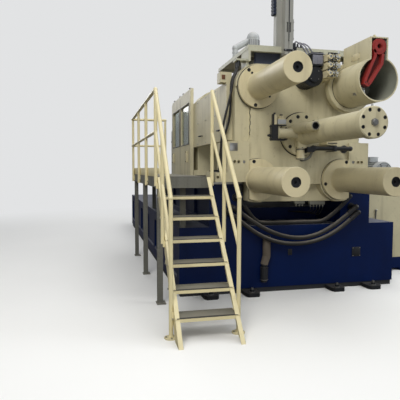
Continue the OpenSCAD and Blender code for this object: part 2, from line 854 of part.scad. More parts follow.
module stub_block() {
  w = 75;
  low = axis_h - 86;
  arm_end = 98;
  y1 = stub_block_y + stub_block_t;
  color(black) union() {
    block([-stub_reach - w, stub_block_y, low], [-stub_reach, y1, stub_block_z]);
    block([-stub_reach, stub_block_y, stub_block_z - 12], [arm_end - stub_reach, y1, stub_block_z]);
    block([-stub_reach, stub_block_y, low], [arm_end - 10 - stub_reach, y1, low + 20]);
  }
}

// Small valve on the switch block, a stub pipe under the body and a bar at the flange's side
module cylinder_valves() {
  valve_w = 88;
  valve_h = 70;
  knob = 30;
  plate_w = 36;
  y1 = stub_block_y + stub_block_t;
  pipe_w = 92;
  pipe_l = 130;
  pipe_z = axis_h - cyl_body_d / 2 - pipe_l - 30;
  bar_x0 = cyl_flange_d / 2 + 6;
  bar_l = 145;
  bar_z = axis_h - 105;
  color(cream) {
    union() {
      block([-stub_reach, stub_block_y, stub_block_z], [valve_w - stub_reach, y1, stub_block_z + valve_h]);
      translate([(valve_w - 2 * stub_reach) / 2, (stub_block_y + y1) / 2, stub_block_z + valve_h])
        cylinder(d = stub_block_t - 10, h = knob);
    }
    translate([-stub_reach - plate_w - 16, stub_block_y, stub_block_z]) cube([plate_w, stub_block_t, 110]);
    translate([-45, face - pipe_out + 30, pipe_z]) cylinder(d = pipe_w, h = pipe_l);
    block([bar_x0, face - pipe_out - 20, bar_z - 16], [bar_x0 + bar_l, face, bar_z + 16]);
  }
}

// The pressure pipe leaves its joint block, runs to the right and turns into the plate
module pressure_pipe() {
  z = axis_h - 165;
  x0 = 8;
  x1 = tie_h + 40;
  color(black) union() {
    block([x0, face - pipe_out - 40, z - 45], [x0 + 85, face - pipe_out + 60, z + 13]);
    bar_x(x0 + 60, face - pipe_out, z, pipe_d, x1 - x0 - 60);
    translate([x1, face - pipe_out, z]) sphere(d = pipe_d + 8);
    bar_y(x1, face - pipe_out, z, pipe_d, pipe_out);
    bar_y(x1, face - 20, z, pipe_d + 40, 20);
  }
}

// Round motor flat on the plate, with an end cap and a terminal box on top
module die_height_motor() {
  x = 32;
  z = platen_top - 155;
  d = 230;
  length = 250;
  cap_d = 150;
  cap_l = 35;
  box_x = 5;
  box_w = 130;
  color(black) union() {
    bar_y(x, face - length, z, d, length);
    bar_y(x, face - length - cap_l, z, cap_d, cap_l + 1);
    block([box_x, face - length - 20, z + d / 2 - 10], [box_x + box_w, face - 90, z + d / 2 + 135]);
  }
}

// Stepped valve block beside the puller, with valve bodies and caps on its front
module valve_manifold() {
  z = platen_top - 195;
  x0 = 150;
  x1 = tie_h - puller_flange_d / 2 - 3;
  y0 = puller_y - 10;
  color(cream) union() {
    block([x0, y0, z], [x1, face, z + 280]);
    for (k = [0:2]) {
      h = z + 12 + k * 88;
      block([x0, y0 - 130, h], [x1 + (k > 0 ? 60 : 20), y0, h + 74]);
      bar_y(x0 + 22, y0 - 165, h + 37, 52, 36);
      bar_y(x1 - 8, y0 - 150, h + 37, 44, 21);
    }
  }
}

module top_frame() {
  beam = roof_lip;
  ear_z = roof_h - 126;
  color(cream) difference() {
    union() {
      for (x = [-roof_hw, roof_hw - post_t])
        union() {
          block([x, roof_y, platen_top + 10], [x + post_t, roof_y + post_l, roof_h]);
          block([x, face, platen_top - 120], [x + post_t, roof_y + post_l, roof_h]);
        }
      block([-roof_hw, roof_y, roof_h - beam], [roof_hw, roof_y + beam, roof_h]);
      block([-roof_hw, roof_y + post_l - 30, roof_h - beam], [roof_hw, roof_y + post_l, roof_h]);
      block([-roof_hw - 120, face, ear_z - 20], [-roof_hw + 1, face + 130, ear_z]);
      for (x = [-500, 488]) across(x, 12) polygon([
        [plate_back - 140, platen_top], [plate_back - 60, platen_top],
        [roof_y + roof_l - 200, roof_h], [roof_y + roof_l - 330, roof_h]
      ]);
    }
    along(face, plate_t) platen_outline();
  }
}

// Sheet with its sides and rear folded down
module top_cover() {
  y1 = roof_y + roof_l;
  lip = 30;
  color(cream) difference() {
    block([-roof_hw - 3, roof_y, roof_h - lip], [roof_hw + 3, y1, roof_h + roof_t]);
    block([-roof_hw, roof_y - 1, roof_h - lip - 1], [roof_hw, y1 - 3, roof_h]);
  }
}

module roof_panel() {
  color(navy) block([-platen_hw + platen_r, face + 90, platen_top], [-225, face + 105, roof_h]);
}

// Profile with a groove in each face, a lighter strip beside it and a plate at its side
module service_mast() {
  x0 = -272;
  y0 = roof_y - mast_w;
  g = 12;
  low = platen_top + 80;
  strip_x0 = -335;
  color(grey) {
    difference() {
      union() {
        block([x0, y0, low], [x0 + mast_w, roof_y, mast_top]);
        block([x0 + mast_w, y0 + 20, roof_h + 70], [x0 + mast_w + 16, roof_y, roof_h + 300]);
      }
      for (y = [y0 - 1, roof_y - g]) translate([x0 + (mast_w - g) / 2, y, low - 1])
        cube([g, g + 1, mast_top - low + 2]);
      for (z = [roof_h + 150:400:mast_top - 200], dx = [22, 58])
        block([x0 + dx, y0 - 1, z], [x0 + dx + 14, y0 + g, z + 110]);
    }
    block([strip_x0, roof_y, roof_h + roof_t], [strip_x0 + 80, roof_y + 80, mast_top - 320]);
  }
}

// Cable chain that hangs beside the mast and bends over to it at the top
module mast_chain() {
  w = 35;
  x0 = -335 - w;
  y0 = roof_y;
  z1 = mast_top - 160;
  r = 80;
  color(black) union() {
    block([x0, y0, roof_h + 370], [x0 + w, y0 + 80, z1]);
    along(y0, 80) translate([x0 + r, z1]) intersection() {
      difference() {
        circle(r);
        circle(r - w);
      }
      translate([-r - 1, 0]) square([2 * r + 2, r + 1]);
    }
    block([x0 + 2 * r - w, y0, z1 - 60], [x0 + 2 * r, y0 + 80, z1]);
  }
}

// Blower with a domed top, a branch to the left and a strut to the roof's edge
module roof_blower() {
  x = -305;
  y = roof_y + 860;
  r = blower_d / 2;
  neck = blower_h - r;
  z0 = roof_h + roof_t;
  base_t = 20;
  branch_x = x - 240;
  branch_z = z0 + 185;
  color(grey) union() {
    block([x - r - 30, y - r - 30, z0], [x + r + 30, y + r + 30, z0 + base_t]);
    translate([x, y, z0]) rotate_extrude() intersection() {
      union() {
        square([r, neck]);
        translate([0, neck]) circle(r);
      }
      square([r, blower_h]);
    }
    bar_between([x, y, z0 + neck], [branch_x, y, branch_z], 80);
    translate([branch_x, y, branch_z]) sphere(d = 84);
    translate([branch_x, y, z0]) cylinder(d = 72, h = branch_z - z0);
  }
}

// Horizontal clamping slots across a die face, with the wide part of a T behind the mouth
module clamp_slots(y_face, dir) {
  for (z = [-slot_z, 0, slot_z]) translate([0, y_face, axis_h + z]) scale([1, dir, 1]) {
    block([-platen_hw - 1, -slot_t, -slot_w / 2], [platen_hw + 1, 1, slot_w / 2]);
    block([-platen_hw - 1, -slot_t, -slot_w / 2 - 12], [platen_hw + 1, 28 - slot_t, slot_w / 2 + 12]);
  }
}

module platen_shoes(y0, length) {
  for (side = [-1, 1]) scale([side, 1, 1])
    block([platen_waist, y0, way_h], [shoe_out, y0 + length, way_h + shoe_rise]);
}

module die_holes(y0) {
  for (x = [-1, 1], z = [-1, 1])
    bar_y(x * die_hole_sx / 2, y0, axis_h + z * die_hole_sz / 2, die_hole_d, die_hole_l + 1);
}

module moving_platen() {
  color(cream) difference() {
    union() {
      along(moving_y, moving_t) platen_outline();
      platen_shoes(moving_y, moving_t);
      ears(moving_y, -1, front_pin_z, [0], link_t);
    }
    tie_bores(moving_y - 1, moving_t + 2, tie_d + 2 * run_gap);
    bar_y(0, moving_y - 1, axis_h, eject_d, moving_t + 2);
    back_pockets(moving_y - 1, 2 * (front_pin_z - eye_d / 2 - 75));
    ear_bores(pin_front_y, front_pin_z);
    die_holes(moving_back - die_hole_l);
    clamp_slots(moving_back, 1);
  }
}

module ejector_cylinder() {
  r = ejector_d / 2;
  flange = 30;
  color(cream) translate([0, moving_y, axis_h]) rotate([90, 0, 0]) rotate_extrude() polygon([
    [0, 0], [r, 0], [r, flange], [r - 18, flange], [r - 18, ejector_l - 50], [r - 4, ejector_l - 50],
    [r - 4, ejector_l - 6], [r - 10, ejector_l], [0, ejector_l]
  ]);
}

// A link between two eyes that are points in Y and Z
module link(p, q, x0, t, d_eye, d_pin) {
  across(x0, t) difference() {
    strap(p, q, d_eye / 2, d_eye / 2);
    for (c = [p, q]) translate(c) circle(d = d_pin + 2 * run_gap);
  }
}

// The rear link has a lug towards the axis for the crosshead's links
module rear_link(x, z) {
  a = [pin_rear_y, axis_h + z * rear_pin_z];
  k = [knee_y, axis_h + z * knee_pin_z];
  m = [lug_y, axis_h + z * (rear_pin_z + knee_pin_z) / 2];
  l = [lug_y, axis_h + z * lug_z];
  across(x - link_t / 2, link_t) difference() {
    union() {
      strap(a, k, eye_d / 2, eye_d / 2);
      strap(m, l, eye_d / 2 - 2, small_eye_d / 2);
    }
    for (c = [a, k]) translate(c) circle(d = pin_d + 2 * run_gap);
    translate(l) circle(d = small_pin_d + 2 * run_gap);
  }
}

module toggle_links() {
  side_dx = link_t / 2 + link_gap;
  color(cream) for (x = [-link_x, link_x], z = [-1, 1]) {
    knee = [knee_y, axis_h + z * knee_pin_z];
    front_pin = [pin_front_y, axis_h + z * front_pin_z];
    lug = [lug_y, axis_h + z * lug_z];
    cross_pin = [cross_y, axis_h + z * cross_pin_z];
    rear_link(x, z);
    for (x0 = [x - side_dx - outer_t, x + side_dx]) link(knee, front_pin, x0, outer_t, eye_d, pin_d);
    for (x0 = [x - side_dx - small_t, x + side_dx])
      link(lug, cross_pin, x0, small_t, small_eye_d, small_pin_d);
  }
}

module toggle_pins() {
  wide = link_t + 2 * (link_gap + outer_t) + 16;
  small = link_t + 2 * (link_gap + small_t) + 12;
  color(steel) for (x = [-link_x, link_x], z = [-1, 1]) {
    for (p = [[pin_rear_y, rear_pin_z], [knee_y, knee_pin_z], [pin_front_y, front_pin_z]])
      bar_x(x - wide / 2, p[0], axis_h + z * p[1], pin_d, wide);
    for (p = [[lug_y, lug_z], [cross_y, cross_pin_z]])
      bar_x(x - small / 2, p[0], axis_h + z * p[1], small_pin_d, small);
  }
}

// Beam across the machine, a plate with the guide bushes and an arm for each link pin
module crosshead() {
  half = link_x + link_t / 2;
  bush = guide_d + 60;
  arm_r = crosshead_l / 2 + 10;
  bore_y = cross_y - crosshead_l;
  color(grey) difference() {
    union() {
      block([-half, cross_y - crosshead_l / 2, axis_h - crosshead_h / 2],
        [half, cross_y + crosshead_l / 2, axis_h + crosshead_h / 2]);
      along(cross_y - crosshead_l / 2, crosshead_l) {
        strap([0, axis_h - guide_z], [0, axis_h + guide_z], bush / 2, bush / 2);
        circle_at_axis(rod_d + 90);
      }
      for (x = [-link_x, link_x], z = [-1, 1]) across(x - link_t / 2, link_t)
        strap([cross_y, axis_h], [cross_y, axis_h + z * cross_pin_z], arm_r, small_eye_d / 2);
    }
    bar_y(0, bore_y, axis_h, rod_d + 2 * run_gap, 2 * crosshead_l);
    for (z = [-1, 1]) bar_y(0, bore_y, axis_h + z * guide_z, guide_d + 2 * run_gap, 2 * crosshead_l);
    for (x = [-link_x, link_x], z = [-1, 1])
      bar_x(x - link_t, cross_y, axis_h + z * cross_pin_z, small_pin_d + 2 * run_gap, 2 * link_t);
  }
}

module circle_at_axis(d) {
  translate([0, axis_h]) circle(d = d);
}

module guide_rods() {
  color(steel) for (z = [-1, 1]) bar_y(0, plate_back, axis_h + z * guide_z, guide_d, toggle_l);
}

module fixed_platen() {
  color(cream) difference() {
    union() {
      along(fixed_y, fixed_t) platen_outline();
      platen_shoes(fixed_y, fixed_t);
    }
    tie_bores(fixed_y - 1, fixed_t + 2, tie_d + 2 * run_gap);
    bar_y(0, fixed_y - 1, shot_z, sleeve_od + 2 * run_gap, fixed_t + 2);
    die_holes(fixed_y - 1);
    clamp_slots(fixed_y, -1);
  }
}

// Sleeve with a pouring hole on top, behind the shot frame's front plate
module shot_sleeve() {
  y1 = fixed_back + sleeve_l;
  pour_y = y1 - pour_l - 60;
  color(steel) difference() {
    bar_y(0, fixed_y, shot_z, sleeve_od, fixed_t + sleeve_l);
    bar_y(0, fixed_y - 1, shot_z, sleeve_d, fixed_t + sleeve_l + 2);
    translate([0, pour_y + pour_l / 2, shot_z]) linear_extrude(sleeve_od)
      round_rect(pour_w, pour_l, pour_w / 2 - 1);
  }
}

// One casting seen from the side: front plate, two arms and rear plate round an open window
module shot_frame() {
  w = shot_frame_l - shot_plate_t;
  h = 2 * (shot_hh - shot_arm);
  foot_hw = 200;
  rear_y = shot_back + shot_l - 160;
  color(cream) {
    difference() {
      union() {
        across(-shot_hw, 2 * shot_hw) difference() {
          translate([fixed_back, shot_z - shot_hh]) square([shot_frame_l + shot_plate_t, 2 * shot_hh]);
          translate([fixed_back + shot_plate_t + w / 2, shot_z]) round_rect(w, h, 70);
        }
        block([-foot_hw, shot_y - 60, trough_h], [foot_hw, shot_back, shot_z - shot_hh]);
      }
      bar_y(0, fixed_back - 1, shot_z, sleeve_od + 4, shot_plate_t + 2);
      bar_y(0, shot_y - 1, shot_z, plunger_d + 2 * run_gap, shot_plate_t + 2);
    }
    difference() {
      block([-120, rear_y, trough_h], [120, rear_y + 120, shot_z]);
      bar_y(0, rear_y - 1, shot_z, shot_d + 2 * run_gap, 122);
    }
  }
}

module plunger_rod() {
  tip_y = fixed_back + sleeve_l - 100;
  r = plunger_d / 2;
  length = shot_back - tip_y;
  tip = sleeve_d / 2 - run_gap;
  joint = 420;
  color(steel) turned(0, tip_y, shot_z) polygon([
    [0, 0], [tip, 0], [tip, 90], [r - 15, 110], [r - 15, joint], [r + 22, joint], [r + 22, joint + 110],
    [r, joint + 110], [r, length], [0, length]
  ]);
}

// Flange, barrel and booster of the shot cylinder as one turned piece
module shot_cylinder() {
  r = shot_d / 2;
  b = booster_d / 2;
  flange = 45;
  end = shot_l + booster_l;
  color(cream) difference() {
    turned(0, shot_back, shot_z) polygon([
      [0, 0], [r + 60, 0], [r + 60, flange], [r, flange], [r, shot_l], [b, shot_l], [b, shot_l + 60],
      [b - 30, shot_l + 80], [b - 30, end - 60], [b, end - 60], [b, end - 10], [b - 10, end], [0, end]
    ]);
    screw_rear(8, booster_d - 60, shot_back + end);
  }
}

// A ring of counterbores in a face that looks along +Y
module screw_rear(count, pcd, y1) {
  for (k = [0:count - 1]) {
    a = 360 * (k + 0.5) / count;
    bar_y(pcd / 2 * cos(a), y1 - screw_bore_t, shot_z + pcd / 2 * sin(a), screw_bore_d, screw_bore_t + 1);
  }
}

// Pressure bottles with domed tops, necks and a foot ring, standing on the base
module accumulators() {
  r = bottle_d / 2;
  neck = 40;
  first = bottle_d;
  color(grey) for (x = [-1, 1], dy = [first, first + bottle_sp])
    translate([x * bottle_x, shot_back + dy, trough_h]) rotate_extrude() union() {
      square([r + 12, 30]);
      square([r, bottle_h - r]);
      translate([0, bottle_h - r]) intersection() {
        circle(r);
        square(r);
      }
      square([neck, bottle_h + 60]);
    }
}

// Box covers beside the toggle, open towards the machine, each with the bracket that carries its top
module side_guards() {
  y0 = face + guard_back;
  y1 = moving_y + 200;
  low = foot_top + 20;
  out = platen_hw + guard_d;
  seams = 3;
  color(cream) for (side = [-1, 1]) scale([side, 1, 1]) {
    difference() {
      block([platen_hw, y0, low], [out, y1, guard_h]);
      block([platen_hw - 1, y0 + guard_t, low + guard_t], [out - guard_t, y1 - guard_t, guard_h - guard_t]);
      for (k = [1:seams]) {
        y = y0 + k * (y1 - y0) / (seams + 1);
        block([out - guard_t / 2, y - 3, low - 1], [out + 1, y + 3, guard_h + 1]);
      }
    }
    block([platen_hw, y0 + 20, guard_h], [out + guard_d, y0 + 160, guard_h + 120]);
  }
}

// Sliding doors with two windows each, hung on a rail
module die_guards() {
  x0 = platen_hw + guard_d + 2;
  door_l = fixed_back - moving_y;
  window_l = (door_l - 3 * door_frame) / 2;
  window_h = 620;
  window_z = axis_h + 300;
  rail = 40;
  color(cream) for (side = [-1, 1]) scale([side, 1, 1]) union() {
    difference() {
      block([x0, moving_y, way_h], [x0 + door_t, fixed_back, platen_top]);
      for (k = [0, 1]) across(x0 - 1, door_t + 2)
        translate([moving_y + door_frame + k * (window_l + door_frame) + window_l / 2, window_z])
          round_rect(window_l, window_h, 50);
    }
    block([x0, moving_y, platen_top], [x0 + rail, fixed_back, platen_top + rail]);
    for (y = [moving_y + 200, fixed_back - 260])
      block([x0 + door_t, y, window_z - 600], [x0 + door_t + 30, y + 30, window_z - 420]);
  }
}

function rail_z(y) = rail_h + (y - stair_foot) * tan(stair_deg);

// Channel stringers with treads between them
module stair() {
  lip = 40;
  thick = stringer_h / tan(stair_deg);
  color(rail_cream) union() {
    for (side = [0, 1]) {
      x = side == 0 ? -deck_in - stringer_t : -deck_out;
      across(x, stringer_t) polygon([
        [stair_foot, 0], [deck_y, deck_h], [deck_y, deck_h - stringer_h], [stair_foot + thick, 0]
      ]);
      x_lip = side == 0 ? -deck_in - lip : -deck_out;
      across(x_lip, lip) polygon([
        [stair_foot, 0], [deck_y, deck_h], [deck_y, deck_h - 10], [stair_foot + 9, 0]
      ]);
    }
    for (k = [1:steps - 1]) {
      y = stair_foot + k * rise / tan(stair_deg) - 10;
      block([-deck_out, y, k * rise - tread_t], [-deck_in, y + tread_d, k * rise]);
    }
  }
}

// Two rails and their posts on one side of the stair, each post held to the beam by a plate
module stair_rail(x, beam_x) {
  bend_y = stair_foot + post_in;
  mid_y = (bend_y + deck_y) / 2;
  post_d = rail_d - 2;
  union() {
    for (y = [bend_y, mid_y, deck_y]) {
      z = (y - stair_foot) * tan(stair_deg) - stringer_h / 2;
      bar_between([x, y, y == bend_y ? 0 : z], [x, y, rail_z(y)], post_d);
      block([min(x, beam_x), y - 25, z - 30], [max(x, beam_x), y + 25, z + 30]);
    }
    bar_between([x, bend_y, rail_z(bend_y)], [x, deck_y, rail_z(deck_y)], rail_d);
    bar_between([x, bend_y, rail_z(bend_y) - mid_drop], [x, deck_y, rail_z(deck_y) - mid_drop], rail_d - 6);
    for (y = [bend_y, deck_y]) translate([x, y, rail_z(y)]) sphere(d = rail_d + 6);
    translate([x, bend_y, 0]) cylinder(d = 3 * rail_d, h = 10);
  }
}

// The platform's rail runs on along its outer edge and round its far end
module handrails() {
  top = deck_h + rail_h;
  low = deck_h - deck_beam;
  x = -rail_out;
  end_x = -rail_in - 60;
  end_y = deck_y + deck_l + rail_d / 2;
  posts = 3;
  color(rail_cream) {
    stair_rail(-rail_in, -deck_in);
    union() {
      stair_rail(x, -deck_out);
      for (drop = [0, mid_drop]) {
        bar_between([x, deck_y, top - drop], [x, end_y, top - drop], rail_d - drop / mid_drop * 6);
        bar_between([x, end_y, top - drop], [end_x, end_y, top - drop], rail_d - drop / mid_drop * 6);
        translate([x, end_y, top - drop]) sphere(d = rail_d + 6);
      }
      for (k = [1:posts]) {
        y = deck_y + k * deck_l / posts - 60;
        bar_between([x, y, low], [x, y, top], rail_d - 2);
        block([x, y - 25, low + 20], [-deck_out, y + 25, deck_h - 20]);
      }
      bar_between([end_x, end_y, low], [end_x, end_y, top], rail_d - 2);
      block([end_x - 25, deck_y + deck_l, low + 20], [end_x + 25, end_y, deck_h - 20]);
      translate([end_x, end_y, top]) sphere(d = rail_d + 6);
    }
  }
}

// Deck with edge beams, outer legs to the floor and inner legs on the base
module platform() {
  y1 = deck_y + deck_l;
  low = deck_h - deck_beam;
  inner = -base_w / 2 + 20;
  first = max(deck_y + 40, front + 20);
  color(rail_cream) union() {
    block([-deck_out, deck_y, deck_h - deck_t], [-deck_in, y1, deck_h]);
    for (x = [-deck_out, -deck_in - 12]) block([x, deck_y, low], [x + 12, y1, deck_h]);
    for (y = [deck_y, y1 - 12]) block([-deck_out, y, low], [-deck_in, y + 12, deck_h]);
    for (y = [deck_y + 40, deck_y + deck_l / 2, y1 - leg_w - 40]) {
      block([-deck_out, y, 0], [-deck_out + leg_w, y + leg_w, low + 1]);
      block([-deck_out - 10, y - 30, 0], [-deck_out + leg_w + 30, y + leg_w + 30, 12]);
      block([-deck_out, y, low - 1], [-deck_in, y + leg_w, deck_h - deck_t + 1]);
    }
    for (y = [first, deck_y + deck_l / 2, y1 - leg_w - 40])
      block([inner, y, base_h], [inner + leg_w, y + leg_w, deck_h - deck_t + 1]);
  }
}

module power_skid() {
  beam = 120;
  color(navy) union() {
    for (x = [unit_x, unit_x + power_w - beam]) block([x, unit_y, 0], [x + beam, unit_y + power_l, skid_h]);
    for (k = [0:3]) {
      y = unit_y + k * (power_l - beam) / 3;
      block([unit_x + 1, y, 40], [unit_x + power_w - 1, y + beam, skid_h]);
    }
  }
}

// Oil tank with a sloped lid edge, stiffening ribs and round cleaning covers on its outer side
module power_tank() {
  x0 = unit_x + 10;
  x1 = unit_x + power_w;
  top = skid_h + tank_h;
  c = 40;
  rib = 12;
  color(cream) union() {
    along(unit_y, power_l) polygon([
      [x0, skid_h], [x1, skid_h], [x1, top - c], [x1 - c, top], [x0 + c, top], [x0, top - c]
    ]);
    for (k = [0:4]) {
      y = unit_y + 60 + k * (power_l - 120 - rib) / 4;
      block([x1, y, skid_h + 60], [x1 + 24, y + rib, top - c - 20]);
    }
    for (k = [0.125, 0.875]) bar_x(x1, unit_y + k * power_l, skid_h + tank_h / 2, 360, 18);
  }
}

// Motor with cooling fins, bell housing and pump, on two feet
module pump_motor(y0) {
  x = unit_x + power_w / 2;
  lid = skid_h + tank_h;
  z = lid + motor_d / 2 + 60;
  r = motor_d / 2;
  bell = 180;
  union() {
    along(y0, motor_l) translate([x, z]) union() {
      circle(r - 22);
      for (k = [0:motor_fins - 1]) rotate(360 * k / motor_fins) translate([0, -3]) square([r, 6]);
    }
    turned(x, y0 - 90, z) polygon([[0, 0], [r - 12, 0], [r, 12], [r, 90], [0, 90]]);
    turned(x, y0 + motor_l, z) polygon([
      [0, 0], [r + 10, 0], [r + 10, 26], [r - 40, 50], [r - 40, bell], [r - 75, bell],
      [r - 75, bell + 200], [0, bell + 200]
    ]);
    block([x - r + 20, y0 + 60, lid], [x + r - 20, y0 + motor_l - 60, z - r / 2]);
    bar_between([x, y0 + motor_l + bell + 100, z], [x, y0 + motor_l + bell + 100, lid], 70);
  }
}

module pump_motors() {
  color(grey) for (k = [0, 1]) pump_motor(unit_y + 160 + k * power_l / 2);
}

// A tube swept along points, with a ring of sides at each point
function unit(v) = v / norm(v);
function turn(p, i) = unit(p[min(i + 1, len(p) - 1)] - p[max(i - 1, 0)]);
function side_of(t, ref) = unit(cross(t, ref));
function ring(p, i, r, n, ref) =
  let (t = turn(p, i), a = side_of(t, ref), b = cross(a, t))
  [for (k = [0:n - 1]) p[i] + r * cos(360 * k / n) * a + r * sin(360 * k / n) * b];
module swept(p, d, n, ref) {
  m = len(p);
  points = [for (i = [0:m - 1]) each ring(p, i, d / 2, n, ref)];
  sides = [for (i = [0:m - 2], k = [0:n - 1])
    [i * n + k, i * n + (k + 1) % n, (i + 1) * n + (k + 1) % n, (i + 1) * n + k]];
  first = [for (k = [0:n - 1]) n - 1 - k];
  last = [for (k = [0:n - 1]) (m - 1) * n + k];
  polyhedron(points, concat([first], sides, [last]));
}

hose_d = 50;
side_hose_d = 26;
hang_y = front - 125;
hose_upper_route = [
  [-735, hang_y, 1003], [-690, hang_y, 972], [-590, hang_y, 903], [-490, hang_y, 840], [-400, hang_y, 789],
  [-290, hang_y, 739], [-170, hang_y, 699], [-30, hang_y, 673], [110, hang_y, 672], [250, hang_y, 700],
  [370, hang_y, 747], [480, hang_y, 806], [590, hang_y, 880], [690, hang_y, 955], [735, hang_y, 990]
];
hose_lower_route = [
  [-790, hang_y, 950], [-745, hang_y, 915], [-640, hang_y, 834], [-540, hang_y, 763], [-430, hang_y, 700],
  [-300, hang_y, 646], [-160, hang_y, 612], [-20, hang_y, 600], [120, hang_y, 605], [260, hang_y, 630],
  [390, hang_y, 674], [500, hang_y, 729], [610, hang_y, 800], [720, hang_y, 886], [765, hang_y, 922]
];
hose_shelf_route = [
  [-690, front - 60, 1110], [-655, front - 60, 1072], [-600, front - 45, 1010], [-540, front - 12, 942],
  [-475, front + 20, 882], [-400, front + 42, 845], [-300, front + 50, 836], [-150, front + 52, 836],
  [0, front + 46, 836], [150, front + 52, 836], [300, front + 50, 836], [400, front + 42, 845],
  [475, front + 20, 882], [540, front - 12, 942], [600, front - 45, 1010], [655, front - 60, 1072],
  [690, front - 60, 1110]
];
side_front_y = face + 30;
side_front_route = [
  [-745, side_front_y, axis_h + 780], [-751, side_front_y, axis_h + 735], [-775, side_front_y, axis_h + 675],
  [-801, side_front_y, axis_h + 615], [-815, side_front_y, axis_h + 550], [-827, side_front_y, axis_h + 476],
  [-866, side_front_y, axis_h + 316], [-904, side_front_y, axis_h + 164], [-928, side_front_y, axis_h + 45],
  [-940, side_front_y, axis_h - 70], [-945, side_front_y, axis_h - 190], [-945, side_front_y, axis_h - 290],
  [-945, side_front_y, axis_h - 390]
];
side_rear_y = face + 95;
side_rear_route = [
  [-745, side_rear_y, axis_h + 780], [-751, side_rear_y, axis_h + 735], [-775, side_rear_y, axis_h + 675],
  [-801, side_rear_y, axis_h + 615], [-812, side_rear_y, axis_h + 550], [-815, side_rear_y, axis_h + 445],
  [-818, side_rear_y, axis_h + 295], [-834, side_rear_y, axis_h + 155], [-867, side_rear_y, axis_h + 37],
  [-902, side_rear_y, axis_h - 70], [-930, side_rear_y, axis_h - 180], [-943, side_rear_y, axis_h - 290],
  [-945, side_rear_y, axis_h - 390]
];

module hose_upper() {
  color(hose_grey) swept(hose_upper_route, hose_d, 10, [0, 1, 0]);
}

module hose_lower() {
  color(hose_grey) swept(hose_lower_route, hose_d, 10, [0, 1, 0]);
}

module hose_shelf() {
  color(hose_grey) swept(hose_shelf_route, hose_d, 10, [0, 1, 0]);
}

module side_hose_front() {
  color(black) swept(side_front_route, side_hose_d, 10, [0, 1, 0]);
}

module side_hose_rear() {
  color(black) swept(side_rear_route, side_hose_d, 10, [0, 1, 0]);
}

// An elbow from a face at wall_y that turns into the start of a hose
module elbow(start, next, wall_y) {
  corner = start - 60 * unit(next - start);
  d = hose_d + 6;
  union() {
    bar_y(corner[0], corner[1], corner[2], d, wall_y - corner[1]);
    translate(corner) sphere(d = d + 8);
    bar_between(corner, start, d);
    bar_y(corner[0], wall_y - 15, corner[2], d + 30, 15);
  }
}

module hose_fittings() {
  last = len(side_front_route) - 1;
  socket_d = side_hose_d + 12;
  color(black) {
    for (route = [hose_upper_route, hose_lower_route, hose_shelf_route]) {
      n = len(route) - 1;
      elbow(route[0], route[1], front);
      elbow(route[n], route[n - 1], front);
    }
    for (route = [side_front_route, side_rear_route]) {
      top = roof_h - 146;
      translate([route[0][0], route[0][1], route[0][2]]) cylinder(d = socket_d, h = top - route[0][2]);
      translate([route[last][0], route[last][1], way_h + foot_step])
        cylinder(d = socket_d, h = route[last][2] - way_h - foot_step);
    }
  }
}

// Drain pipe with a thick sleeve on its upper part, held off the base by two stubs
module drain_pipe() {
  x = -350;
  y = front - 50;
  sleeve_low = 340;
  color(black) union() {
    translate([x - 30, y, 150]) cylinder(d = 60, h = sleeve_low + 20 - 150);
    translate([x - 30, y, 140]) cylinder(d = 76, h = 20);
    bar_between([x - 30, y, sleeve_low], [x, y, sleeve_low + 110], 84);
    translate([x, y, sleeve_low + 110]) sphere(d = 92);
    translate([x, y, sleeve_low + 110]) cylinder(d = 86, h = 250);
    for (z = [220, 660]) bar_y(z < sleeve_low ? x - 30 : x, y, z, 40, 50);
  }
}

base_frame();
base_sill();
bed_walls();
bed_ways();
levelling_pads();
end_plate();
tie_bars();
tie_bar_nuts();
tie_bar_covers();
puller_flange();
puller_housing();
locking_arm();
arm_pin();
puller_nut();
closing_cylinder();
cylinder_rod();
stub_block();
cylinder_valves();
pressure_pipe();
die_height_motor();
valve_manifold();
top_frame();
top_cover();
roof_panel();
service_mast();
mast_chain();
roof_blower();
moving_platen();
ejector_cylinder();
toggle_links();
toggle_pins();
crosshead();
guide_rods();
fixed_platen();
shot_sleeve();
shot_frame();
shot_cylinder();
plunger_rod();
accumulators();
side_guards();
die_guards();
stair();
handrails();
platform();
power_skid();
power_tank();
pump_motors();
hose_fittings();
hose_upper();
hose_lower();
hose_shelf();
side_hose_front();
side_hose_rear();
drain_pipe();
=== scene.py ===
"""Looks of a die casting machine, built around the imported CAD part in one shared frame."""

import json
import logging
import math
from dataclasses import dataclass, replace
from enum import Enum
from typing import Iterable, Sequence

import bmesh
import bpy
from mathutils import Matrix, Vector


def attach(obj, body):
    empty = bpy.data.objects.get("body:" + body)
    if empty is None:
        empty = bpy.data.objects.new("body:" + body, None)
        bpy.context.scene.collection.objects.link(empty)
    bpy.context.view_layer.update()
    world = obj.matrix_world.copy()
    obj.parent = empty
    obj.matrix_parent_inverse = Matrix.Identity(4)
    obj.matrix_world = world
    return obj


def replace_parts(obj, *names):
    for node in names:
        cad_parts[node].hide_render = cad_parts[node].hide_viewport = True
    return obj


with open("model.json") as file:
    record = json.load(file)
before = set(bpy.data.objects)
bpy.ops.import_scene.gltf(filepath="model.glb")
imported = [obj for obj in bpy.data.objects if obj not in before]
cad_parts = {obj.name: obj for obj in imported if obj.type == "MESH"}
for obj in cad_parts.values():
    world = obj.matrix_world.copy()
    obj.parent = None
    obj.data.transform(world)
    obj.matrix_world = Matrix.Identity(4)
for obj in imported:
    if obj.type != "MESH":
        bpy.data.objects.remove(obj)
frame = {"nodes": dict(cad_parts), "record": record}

LOG = logging.getLogger("die_casting_machine")
Point = Sequence[float]
Rgb = tuple[float, float, float]

FORWARD, REARWARD = (0, -1, 0), (0, 1, 0)
LEFT, RIGHT = (-1, 0, 0), (1, 0, 0)
UP, DOWN = (0, 0, 1), (0, 0, -1)
HEXAGON = 6
MIX_FIRST, MIX_SECOND, MIX_RESULT = 6, 7, 2


